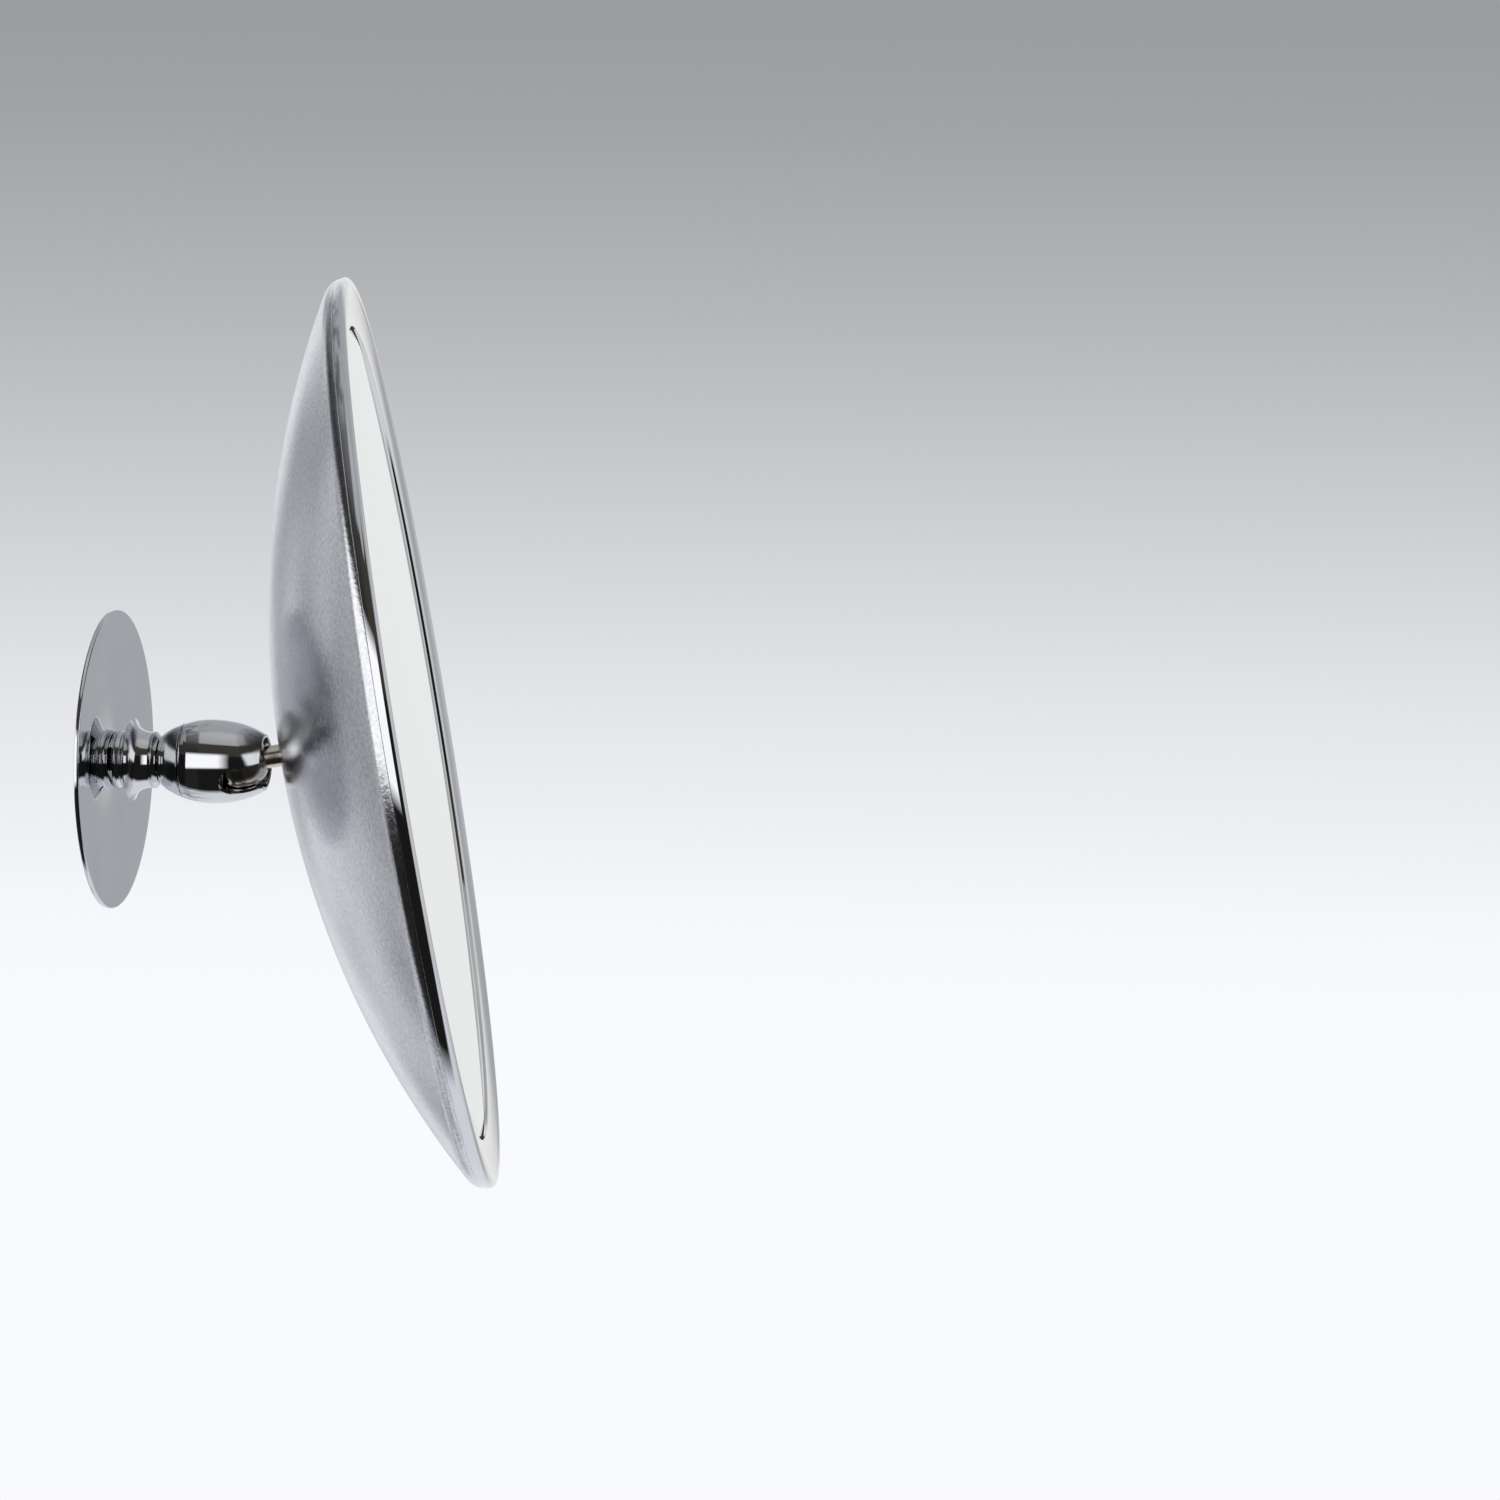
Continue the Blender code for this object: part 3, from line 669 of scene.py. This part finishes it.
def disc_spring(node, looks):
    """A conical spring washer with rolled edges. It is placed on the CAD spring's own box."""
    spring = ARM.span(node)
    opens_forward = node.endswith("1")
    thickness, rise = 0.6 * MM, 0.4 * MM
    low, high = (0, rise) if opens_forward else (rise, 0)
    soft = 0.12 * MM
    profile = [
        (spring.inner, spring.start + low, soft),
        (spring.outer, spring.start + high, soft),
        (spring.outer, spring.start + high + thickness, soft),
        (spring.inner, spring.start + low + thickness, soft),
    ]
    made = turned(f"{node}_fine", profile, ARM, [looks["zinc_steel"]], INNER_STEPS, ring=True)
    return stands_for(made, node, "wall_unit")


def spring_seat(looks):
    seat = ARM.span("spring_seat")
    sphere = 9.05 * MM
    face = arc(0, 0, sphere, -pi / 2 + asin(seat.inner / sphere), -pi / 2 + asin(seat.outer / sphere), 16)
    soft = 0.15 * MM
    profile = [
        (seat.outer, seat.start, soft * 2),
        (seat.inner, seat.start, soft),
        (*face[0], soft),
        *face[1:-1],
        (*face[-1], soft),
    ]
    made = turned("spring_seat_fine", profile, ARM, [looks["brass"]], INNER_STEPS, ring=True)
    return stands_for(made, "spring_seat", "wall_unit")


def front_shell(looks):
    """The egg's front shell, with the ball's seat inside and a slot cut through one side for the stem."""
    front, radius, centre, rear, fore = egg_shape()
    shell = ARM.span("socket_front_shell")
    seam = shell.start
    seat_radius = BALL_SEAT
    seat_edge = asin(MOUTH_RADIUS / seat_radius)
    seat = arc(0, 0, seat_radius, 0, pi / 2 - seat_edge, 24)
    outside = egg(radius, centre, rear, fore, seam + SEAM_ROUND, shell.end - 0.12 * MM, 72)
    relief = 9.1 * MM
    threaded = 8.3 * MM
    profile = [
        (outside[0][0] - 0.2 * MM, seam, 0.1 * MM),
        *outside,
        (outside[-1][0] - 0.3 * MM, shell.end, 0.2 * MM),
        (MOUTH_RADIUS, shell.end, 0.15 * MM),
        *reversed(seat),
        (seat_radius, front + 29.5 * MM),
        (relief, front + 29.5 * MM, 0.1 * MM),
        (relief, front + 23.5 * MM, 0.1 * MM),
        (threaded, front + 23.5 * MM, 0.2 * MM),
        (threaded, seam, 0.2 * MM),
    ]
    made = turned("socket_front_shell_fine", profile, ARM, [looks["polished_chrome"]], FINE_STEPS, ring=True)

    half = SLOT_HALF_WIDTH
    closed = front + SLOT_BEND + half
    open_end = shell.end + MM
    turns = [pi * i / SLOT_BEND_STEPS for i in range(SLOT_BEND_STEPS + 1)]
    bend = [(closed - half * sin(t), half * cos(t)) for t in turns]
    outline = [(open_end, half), *bend, (open_end, -half)]
    local = ARM.matrix.to_3x3().inverted()
    outwards = (local @ Vector((cos(SLOT_DIRECTION), 0, sin(SLOT_DIRECTION)))).normalized()
    along = Vector((0, 0, 1))
    across = outwards.cross(along)
    turn = Matrix((along, across, outwards)).transposed().to_4x4()
    carve(made, prism("slot_shape", outline, 2 * radius, ARM.matrix @ turn, []))
    soften_edges(made, 0.3 * MM, radians(50))
    return stands_for(made, "socket_front_shell", "socket_front")


def friction_cup(looks):
    """The nylon liner that carries the ball, with rounded lips."""
    inner, outer = BALL_SEAT, 8.7 * MM
    first, last = -pi / 2 + radians(22), -pi / 2 + radians(56)
    outside = arc(0, 0, outer, first, last, 24)
    inside = list(reversed(arc(0, 0, inner, first, last, 24)))
    soft = 0.25 * MM
    profile = [
        (*outside[0], soft),
        *outside[1:-1],
        (*outside[-1], soft),
        (*inside[0], soft),
        *inside[1:-1],
        (*inside[-1], soft),
    ]
    made = turned("friction_cup_fine", profile, CUP, [looks["white_nylon"]], INNER_STEPS, ring=True)
    return stands_for(made, "friction_cup", "ball_liner")


# ---------------------------------------------------------------- ball and stem


def ball(looks):
    radius = HEAD.span("ball").outer
    stem = HEAD.span("stem_rod")
    hole = 3.1 * MM
    mouth = pi / 2 - asin((hole + 0.25 * MM) / radius)
    surface_points = arc(0, 0, radius, -pi / 2, mouth, 64)
    surface_points[0] = (0, -radius)
    floor = stem.start - 0.3 * MM
    profile = [
        *surface_points,
        (hole, surface_points[-1][1] - 0.3 * MM, 0.15 * MM),
        (hole, floor, 0.2 * MM),
        (0, floor),
    ]
    made = turned("ball_fine", profile, HEAD, [looks["satin_nickel"]], SMALL_STEPS)
    return stands_for(made, "ball", "ball_stem")


def stem_rod(looks):
    rod = HEAD.span("stem_rod")
    dish = HEAD.span("head_back_shell")
    radius, spindle = rod.outer, 2 * MM
    shoulder = dish.start - 0.3 * MM
    plain = shoulder + 4.2 * MM
    profile = [
        (0, rod.start),
        (radius - 0.3 * MM, rod.start, 0.05 * MM),
        (radius, rod.start + 0.3 * MM, 0.05 * MM),
        (radius, shoulder, 0.3 * MM),
        (spindle, shoulder, 0.2 * MM),
        (spindle, plain),
        *thread(spindle, plain, rod.end - 0.9 * MM),
        (spindle - THREAD_DEPTH, rod.end - 0.5 * MM),
        (spindle - 0.65 * MM, rod.end, 0.08 * MM),
        (0, rod.end),
    ]
    made = turned("stem_rod_fine", profile, HEAD, [looks["satin_nickel"]], INNER_STEPS)
    return stands_for(made, "stem_rod", "ball_stem")


def lock_nut(looks):
    """A hexagon nut with turned chamfers on both faces and a countersunk, threaded bore."""
    nut = HEAD.span("stem_lock_nut")
    flats = nut.outer * cos(pi / 6)
    skirt = nut.outer + MM
    lean = (skirt - flats) * tan(radians(25))
    blank = [
        (0, nut.start),
        (flats * 0.94, nut.start),
        (skirt, nut.start + lean),
        (skirt, nut.end - lean),
        (flats * 0.94, nut.end),
        (0, nut.end),
    ]
    made = turned("stem_lock_nut_fine", blank, HEAD, [looks["zinc_steel"]], INNER_STEPS)
    tall = Matrix.Translation((0, 0, nut.start - MM))
    hexagon = prism("hexagon", circle(nut.outer, 6), nut.end - nut.start + 2 * MM, HEAD.matrix @ tall, [])
    carve(made, hexagon, "INTERSECT")
    bore = nut.inner
    ridges = [(r + THREAD_DEPTH, s) for r, s in thread(bore, nut.start + 0.3 * MM, nut.end - 0.7 * MM)]
    drill = [
        (0, nut.start - MM),
        (bore + 1.4 * MM, nut.start - MM),
        (bore + 0.1 * MM, nut.start + 0.3 * MM),
        *ridges,
        (bore + 0.1 * MM, nut.end - 0.3 * MM),
        (bore + 1.4 * MM, nut.end + MM),
        (0, nut.end + MM),
    ]
    carve(made, turned("nut_drill", drill, HEAD, [], DRILL_STEPS))
    return stands_for(made, "stem_lock_nut", "ball_stem")


# ---------------------------------------------------------------- head


def dish_points(radius, apex, inner, outer, count):
    centre = apex + DISH_SPHERE
    return arc(0, centre, radius, -pi / 2 + asin(inner / radius), -pi / 2 + asin(outer / radius), count)


def dish_side(dish, depth, count):
    """The dish's section this far under its outer face, with the edge rolled up towards the rim."""
    lean = asin(DISH_ROLL_START / DISH_SPHERE)
    sphere = DISH_SPHERE - depth
    bowl = dish_points(sphere, dish.start, dish.inner, sphere * sin(lean), count)
    core = DISH_SPHERE - DISH_ROLL_RADIUS
    centre_radius, centre = core * sin(lean), dish.start + DISH_SPHERE - core * cos(lean)
    start, end = lean - pi / 2, DISH_ROLL_END - pi / 2
    roll = arc(centre_radius, centre, DISH_ROLL_RADIUS - depth, start, end, 12)
    return [*bowl, *roll[1:]]


def head_back(looks):
    """The spun back: a shallow bowl with a hole for the stem and an edge rolled up to the rim."""
    dish = HEAD.span("head_back_shell")
    outside = dish_side(dish, 0, 96)
    inside = list(reversed(dish_side(dish, DISH_THICKNESS, 48)))
    profile = [
        (*outside[0], 0.3 * MM),
        *outside[1:-1],
        (*outside[-1], 0.2 * MM),
        (*inside[0], 0.2 * MM),
        *inside[1:-1],
        (*inside[-1], 0.15 * MM),
    ]
    made = turned("head_back_shell_fine", profile, HEAD, [looks["satin_chrome"]], FINE_STEPS, ring=True)
    return stands_for(made, "head_back_shell", "mirror_head")


def hub_plate(looks):
    hub = HEAD.span("hub_plate")
    dish = HEAD.span("head_back_shell")
    sphere = DISH_SPHERE - 1.3 * MM
    back = dish_points(sphere, dish.start, hub.inner, hub.outer, 20)
    soft = 0.4 * MM
    profile = [
        (*back[0], 0.15 * MM),
        *back[1:-1],
        (*back[-1], soft),
        (hub.outer, hub.end, soft),
        (hub.outer * 0.62, hub.end, 0.3 * MM),
        (hub.outer * 0.6, hub.end - 0.4 * MM, 0.2 * MM),
        (hub.outer * 0.5, hub.end - 0.4 * MM, 0.2 * MM),
        (hub.outer * 0.48, hub.end, 0.3 * MM),
        (hub.inner, hub.end, 0.3 * MM),
    ]
    made = turned("hub_plate_fine", profile, HEAD, [looks["zinc_steel"]], SMALL_STEPS, ring=True)
    return stands_for(made, "hub_plate", "mirror_head")


def hub_bush(looks):
    bush = HEAD.span("hub_bush")
    flange = bush.end - 0.8 * MM
    barrel = 3.6 * MM
    soft = 0.15 * MM
    profile = [
        (bush.inner, bush.start, soft),
        (barrel, bush.start, soft * 2),
        (barrel, flange, soft),
        (bush.outer, flange, soft),
        (bush.outer, bush.end, soft * 2),
        (bush.inner, bush.end, soft),
    ]
    made = turned("hub_bush_fine", profile, HEAD, [looks["white_nylon"]], INNER_STEPS, ring=True)
    return stands_for(made, "hub_bush", "mirror_head")


def stem_washer(looks):
    washer = HEAD.span("stem_washer")
    soft = 0.2 * MM
    profile = [
        (washer.inner, washer.start, soft),
        (washer.outer, washer.start, soft),
        (washer.outer, washer.end, soft * 1.5),
        (washer.inner, washer.end, soft),
    ]
    made = turned("stem_washer_fine", profile, HEAD, [looks["zinc_steel"]], INNER_STEPS, ring=True)
    return stands_for(made, "stem_washer", "mirror_head")


def spring_washer(looks):
    """A split ring: its section is square with broken corners, and the two ends stand a little apart."""
    washer = HEAD.span("stem_spring_washer")
    soft = 0.12 * MM
    profile = softened(
        [
            (washer.inner, washer.start, soft),
            (washer.outer, washer.start, soft),
            (washer.outer, washer.end, soft),
            (washer.inner, washer.end, soft),
        ],
        True,
    )
    gap_angle = radians(9)
    made = turned(
        "stem_spring_washer_fine", profile, HEAD, [looks["zinc_steel"]], INNER_STEPS, True, 2 * pi - gap_angle
    )
    return stands_for(made, "stem_spring_washer", "mirror_head")


def rim_bezel(looks):
    """The rolled rim: a sleeve round the glass, a shallow cove, a fine groove and the outer bead."""
    rim = HEAD.span("rim_bezel")
    bead_radius = rim.outer - BEAD_HALF_WIDTH
    bead_along = rim.end - BEAD_HALF_HEIGHT
    sleeve, sleeve_end = rim.inner, rim.start
    cove_outer, cove_front, cove_back = COVE_OUTER_RADIUS, bead_along + COVE_RISE, bead_along
    cove = []
    for i in range(COVE_STEPS + 1):
        share = i / COVE_STEPS
        sag = COVE_SAG * 4 * share * (1 - share)
        rise = (cove_front - cove_back) * share
        cove.append((sleeve + (cove_outer - sleeve) * share, cove_back + rise - sag))
    round_points = arc(0, 0, 1, BEAD_START, 0, 56)
    roll = [
        (bead_radius + BEAD_HALF_WIDTH * x, bead_along + BEAD_HALF_HEIGHT * y) for x, y in round_points
    ]
    wall = sleeve + 0.8 * MM
    profile = [
        (sleeve, sleeve_end, 0.2 * MM),
        (*cove[0], 0.3 * MM),
        *cove[1:-1],
        (*cove[-1], 0.12 * MM),
        (cove_outer + 0.15 * MM, cove_front - 0.2 * MM, 0.06 * MM),
        (*roll[0], 0.1 * MM),
        *roll[1:],
        (rim.outer - 0.34 * MM, bead_along - 1.78 * MM, 0.1 * MM),
        (rim.outer - 1.8 * MM, bead_along - 1.34 * MM, 0.3 * MM),
        (wall, cove_back - 1.2 * MM, 0.4 * MM),
        (wall, sleeve_end, 0.2 * MM),
    ]
    made = turned("rim_bezel_fine", profile, HEAD, [looks["polished_chrome"]], FINE_STEPS, ring=True)
    return stands_for(made, "rim_bezel", "mirror_head")


def rim_seal(looks):
    seal = HEAD.span("rim_seal")
    thick = 0.4 * MM
    soft = 0.12 * MM
    profile = [
        (seal.inner, seal.start, soft),
        (seal.outer, seal.start, soft),
        (seal.outer, seal.end, soft),
        (seal.outer - thick, seal.end, soft),
        (seal.outer - thick, seal.start + thick, soft),
        (seal.inner, seal.start + thick, soft),
    ]
    made = turned("rim_seal_fine", profile, HEAD, [looks["black_rubber"]], FINE_STEPS, ring=True)
    return stands_for(made, "rim_seal", "mirror_head")


def mirror_glass(looks):
    """Silvered glass with a narrow ground bevel. The edge below the bevel is bare glass."""
    glass = HEAD.span("mirror_glass")
    width, depth = 1.9 * MM, 0.5 * MM
    radius = glass.outer
    face = [(radius * share, glass.end) for share in (0.2, 0.4, 0.6, 0.8)]
    profile = [
        (0, glass.start),
        (radius - 0.3 * MM, glass.start, 0.05 * MM),
        (radius, glass.start + 0.3 * MM, 0.05 * MM),
        (radius, glass.end - depth, 0.06 * MM),
        (radius - width, glass.end, 0.1 * MM),
        *reversed(face),
        (0, glass.end),
    ]
    faces = [looks["mirror_silver"], looks["glass_edge"]]
    made = turned("mirror_glass_fine", profile, HEAD, faces, FINE_STEPS)
    for polygon in made.data.polygons:
        offset = polygon.center - BALL
        along = offset.dot(HEAD.direction)
        across = (offset - along * HEAD.direction).length
        if across > radius - 0.4 * MM and along < glass.end - depth + 0.02 * MM:
            polygon.material_index = 1
    return stands_for(made, "mirror_glass", "mirror_head")


def backing_board(looks):
    board = HEAD.span("backing_board")
    soft = 0.2 * MM
    profile = [
        (0, board.start),
        (board.outer, board.start, soft),
        (board.outer, board.end, soft),
        (0, board.end),
    ]
    made = turned("backing_board_fine", profile, HEAD, [looks["grey_board"]], SMALL_STEPS)
    return stands_for(made, "backing_board", "mirror_head")


def retaining_ring(looks):
    ring = HEAD.span("retaining_ring")
    soft = 0.15 * MM
    profile = [
        (ring.inner, ring.start, soft),
        (ring.outer, ring.start, soft),
        (ring.outer, ring.end, soft),
        (ring.inner, ring.end, soft),
    ]
    made = turned("retaining_ring_fine", profile, HEAD, [looks["zinc_steel"]], FINE_STEPS, ring=True)
    return stands_for(made, "retaining_ring", "mirror_head")


# ---------------------------------------------------------------- stage, light and camera


def linear(level):
    """The linear value of a display level from 0 to 255."""
    share = level / 255
    return share / 12.92 if share < 0.04 else ((share + 0.055) / 1.055) ** 2.4


# Height on the backdrop, then the colour it glows with there: painted light, white low down and darker grey
# higher up.
BACKDROP = (
    (-0.45, 249, 250, 254),
    (-0.323, 249, 250, 254),
    (-0.268, 246, 247, 251),
    (-0.209, 237, 238, 242),
    (-0.146, 229, 230, 234),
    (-0.082, 218, 219, 222),
    (-0.015, 206, 207, 210),
    (0.052, 194, 195, 198),
    (0.121, 182, 183, 185),
    (0.191, 172, 173, 175),
    (0.262, 162, 163, 165),
    (0.333, 156, 157, 159),
)


STUDIO_FLOOR = -0.42
STUDIO_RADIUS = 3.4
STUDIO_BEND = 1.0
STUDIO_TOP = 2.6
STUDIO_STEPS = 96
BEND_POINTS = 32


def studio():
    """A round floor that curves up into a wall, so that every view has the same plain backdrop. It glows with
    painted light, white on the floor and darker grey up the wall, and that glow lights the pieces too, though
    the metal doesn't reflect it.
    """
    steps = STUDIO_STEPS
    foot = (STUDIO_RADIUS - STUDIO_BEND, STUDIO_FLOOR + STUDIO_BEND)
    profile = [*arc(*foot, STUDIO_BEND, -pi / 2, 0, BEND_POINTS), (STUDIO_RADIUS, STUDIO_TOP)]
    shape = bmesh.new()
    turns = [2 * pi * k / steps for k in range(steps)]
    grid = [[shape.verts.new((0, 0, STUDIO_FLOOR))] * steps]
    grid += [[shape.verts.new((r * cos(t), r * sin(t), z)) for t in turns] for r, z in profile]
    for low, high in zip(grid, grid[1:]):
        for k in range(steps):
            after = (k + 1) % steps
            shape.faces.new(list(dict.fromkeys([low[k], low[after], high[after], high[k]])))
    mesh = bpy.data.meshes.new("studio")
    shape.to_mesh(mesh)
    shape.free()
    mesh.shade_smooth()
    obj = bpy.data.objects.new("studio", mesh)
    bpy.context.scene.collection.objects.link(obj)

    glowing_backdrop = bpy.data.materials.new("studio_glow")
    glowing_backdrop.use_nodes = True
    nodes, links = glowing_backdrop.node_tree.nodes, glowing_backdrop.node_tree.links
    nodes.clear()
    # Painted light: the backdrop glows instead of being lit, white on the floor and darker grey up the wall.
    glow = nodes.new("ShaderNodeEmission")
    output = nodes.new("ShaderNodeOutputMaterial")
    place = nodes.new("ShaderNodeTexCoord")
    split = nodes.new("ShaderNodeSeparateXYZ")
    links.new(place.outputs["Object"], split.inputs["Vector"])
    stops = [(height, *(linear(level) for level in colour)) for height, *colour in BACKDROP]
    links.new(ramp(nodes, links, split.outputs["Z"], stops), glow.inputs["Color"])
    links.new(glow.outputs["Emission"], output.inputs["Surface"])
    mesh.materials.append(glowing_backdrop)
    obj.visible_glossy = False


# The surroundings go by direction. Each pair is where something fades in or out, as a part of the direction:
# along X for the change of room, along Z for the horizon, sills and top, and along Y for the rest.
SIDE_CHANGE = (-0.12, 0.12)
HORIZON_END = (0.28, 0.5)
WINDOW_START = (-0.2, 0.0)
WINDOW_SILL = (-0.32, -0.22)
WINDOW_TOP = (0.3, 0.42)
WINDOW_LIGHT = 1.3
NEAR_WALL_START = (0.33, 0.37)
CORNER_START = (0.45, 0.7)
CORNER_SILL = (0.3, 0.45)
CORNER_SHADE = 0.8

# Faint dark shapes in the pale room.
CLUTTER_START = (0.2, 0.4)
CLUTTER_SCALE = 7
CLUTTER_RANGE = (0.4, 0.6)
CLUTTER_SHADE = 0.55

# Brightness by direction. The first value is the direction's part along Y or along Z.
FAR_HORIZON = (
    (-1, 0.70, 0.71, 0.74),
    (-0.5, 0.62, 0.63, 0.66),
    (-0.33, 0.44, 0.45, 0.47),
    (-0.2, 0.44, 0.45, 0.47),
    (-0.08, 0.68, 0.68, 0.67),
    (0.0, 0.80, 0.80, 0.775),
    (0.12, 0.84, 0.85, 0.86),
    (0.28, 0.90, 0.91, 0.95),
    (0.42, 0.86, 0.87, 0.91),
    (0.64, 0.72, 0.73, 0.77),
    (1, 0.50, 0.51, 0.54),
)
FAR_HEIGHTS = (
    (-1, 0.82, 0.83, 0.88),
    (-0.4, 0.80, 0.81, 0.86),
    (0.0, 0.5, 0.5, 0.52),
    (0.35, 0.46, 0.47, 0.49),
    (1, 0.42, 0.43, 0.45),
)
NEAR_HEIGHTS = (
    (-1, 0.012),
    (0.25, 0.012),
    (0.34, 0.05, 0.045, 0.035),
    (0.74, 0.06, 0.055, 0.045),
    (0.77, 0.42),
    (1, 0.55),
)
NEAR_WALL_HEIGHTS = ((-1, 0.02), (0.3, 0.02), (0.7, 0.05), (1, 0.25))


def surroundings():
    """What the metal reflects: a pale room on the +X side and a dark one with a window on the other."""
    world = bpy.data.worlds.new("surroundings")
    world.use_nodes = True
    nodes, links = world.node_tree.nodes, world.node_tree.links
    background = nodes["Background"]
    place = nodes.new("ShaderNodeTexCoord")
    split = nodes.new("ShaderNodeSeparateXYZ")
    links.new(place.outputs["Generated"], split.inputs["Vector"])
    x, y, z = split.outputs
    horizon = ramp(nodes, links, y, FAR_HORIZON)
    heights = ramp(nodes, links, z, FAR_HEIGHTS)
    lift = nodes.new("ShaderNodeMath")
    lift.operation = "ABSOLUTE"
    links.new(z, lift.inputs[0])
    far = blended(nodes, links, remap(nodes, links, lift.outputs[0], 0, 1, *HORIZON_END), horizon, heights)
    clutter = noise(nodes, links, CLUTTER_SCALE, detail=2.0, over="Generated")
    shade = remap(nodes, links, clutter, CLUTTER_SHADE, 0, *CLUTTER_RANGE)
    beside = remap(nodes, links, y, 0, 1, *CLUTTER_START)
    far = toned(nodes, links, product(nodes, links, beside, shade), far, 0)
    corner = product(
        nodes,
        links,
        remap(nodes, links, y, 0, 1, *CORNER_START),
        remap(nodes, links, z, 0, CORNER_SHADE, *CORNER_SILL),
    )
    far = toned(nodes, links, corner, far, 0)
    near = ramp(nodes, links, z, NEAR_HEIGHTS)
    dim = ramp(nodes, links, z, NEAR_WALL_HEIGHTS)
    near = blended(nodes, links, remap(nodes, links, y, 0, 1, *NEAR_WALL_START), near, dim)
    window = product(
        nodes,
        links,
        remap(nodes, links, y, 0, 1, *WINDOW_START),
        remap(nodes, links, z, 0, 1, *WINDOW_SILL),
        remap(nodes, links, z, 1, 0, *WINDOW_TOP),
    )
    near = toned(nodes, links, window, near, WINDOW_LIGHT)
    side = remap(nodes, links, x, 0, 1, *SIDE_CHANGE)
    links.new(blended(nodes, links, side, near, far), background.inputs["Color"])
    background.inputs["Strength"].default_value = 1
    bpy.context.scene.world = world


SOFTBOX_CENTRE = (-1.75, 0.95, 0.1)
SOFTBOX_SIZE = (1.9, 1.3)
SOFTBOX_BRIGHTNESS = 0.35


def softbox():
    """A rectangular softbox that faces the ball. The metal reflects the painted window in its place."""
    across, up = SOFTBOX_SIZE
    data = bpy.data.lights.new("window_softbox", "AREA")
    data.shape = "RECTANGLE"
    data.size, data.size_y = across, up
    data.energy = SOFTBOX_BRIGHTNESS * across * up * pi
    obj = bpy.data.objects.new("window_softbox", data)
    bpy.context.scene.collection.objects.link(obj)
    away = Vector(SOFTBOX_CENTRE) - BALL
    turn = away.to_track_quat("Z", "Y").to_matrix().to_4x4()
    obj.matrix_world = Matrix.Translation(SOFTBOX_CENTRE) @ turn
    obj.visible_camera = False
    obj.visible_glossy = False


LENS = 172.47
SENSOR_WIDTH = 36
CLIP_RANGE = (0.05, 60)
CAMERA_DISTANCE = 1.8
# Azimuth and elevation, in degrees: of the camera as seen from the ball, and of the way its back faces.
CAMERA_PLACE = (-76.382, 3.360)
CAMERA_BACK = (-80.452, 3.224)
CAMERA_ROLL = radians(0.715)


def camera():
    """The view from the -X side, a little above the arm."""

    def towards(azimuth, elevation):
        a, e = radians(azimuth), radians(elevation)
        return Vector((sin(a) * cos(e), -cos(a) * cos(e), sin(e)))

    data = bpy.data.cameras.new("camera")
    data.lens = LENS
    data.sensor_width = SENSOR_WIDTH
    data.clip_start, data.clip_end = CLIP_RANGE
    obj = bpy.data.objects.new("camera", data)
    bpy.context.scene.collection.objects.link(obj)
    back = towards(*CAMERA_BACK)
    level = back.cross(Vector((0, 0, -1))).normalized()
    up = level.cross(-back)
    right = level * cos(CAMERA_ROLL) + up * sin(CAMERA_ROLL)
    top = up * cos(CAMERA_ROLL) - level * sin(CAMERA_ROLL)
    turn = Matrix((right, top, back)).transposed().to_4x4()
    place = BALL + CAMERA_DISTANCE * towards(*CAMERA_PLACE)
    obj.matrix_world = Matrix.Translation(place) @ turn
    bpy.context.scene.camera = obj


def main():
    looks = make_materials()
    for make in (
        mounting_disc,
        wall_plate,
        neck_stud,
        neck_spindle,
        grub_screw,
        rear_cup,
        spring_seat,
        front_shell,
        friction_cup,
        ball,
        stem_rod,
        lock_nut,
        head_back,
        hub_plate,
        hub_bush,
        stem_washer,
        spring_washer,
        rim_bezel,
        rim_seal,
        mirror_glass,
        backing_board,
        retaining_ring,
    ):
        make(looks)
    for node in ("disc_spring_1", "disc_spring_2"):
        disc_spring(node, looks)
    studio()
    surroundings()
    softbox()
    camera()
    bpy.context.scene.view_settings.view_transform = "Standard"


main()
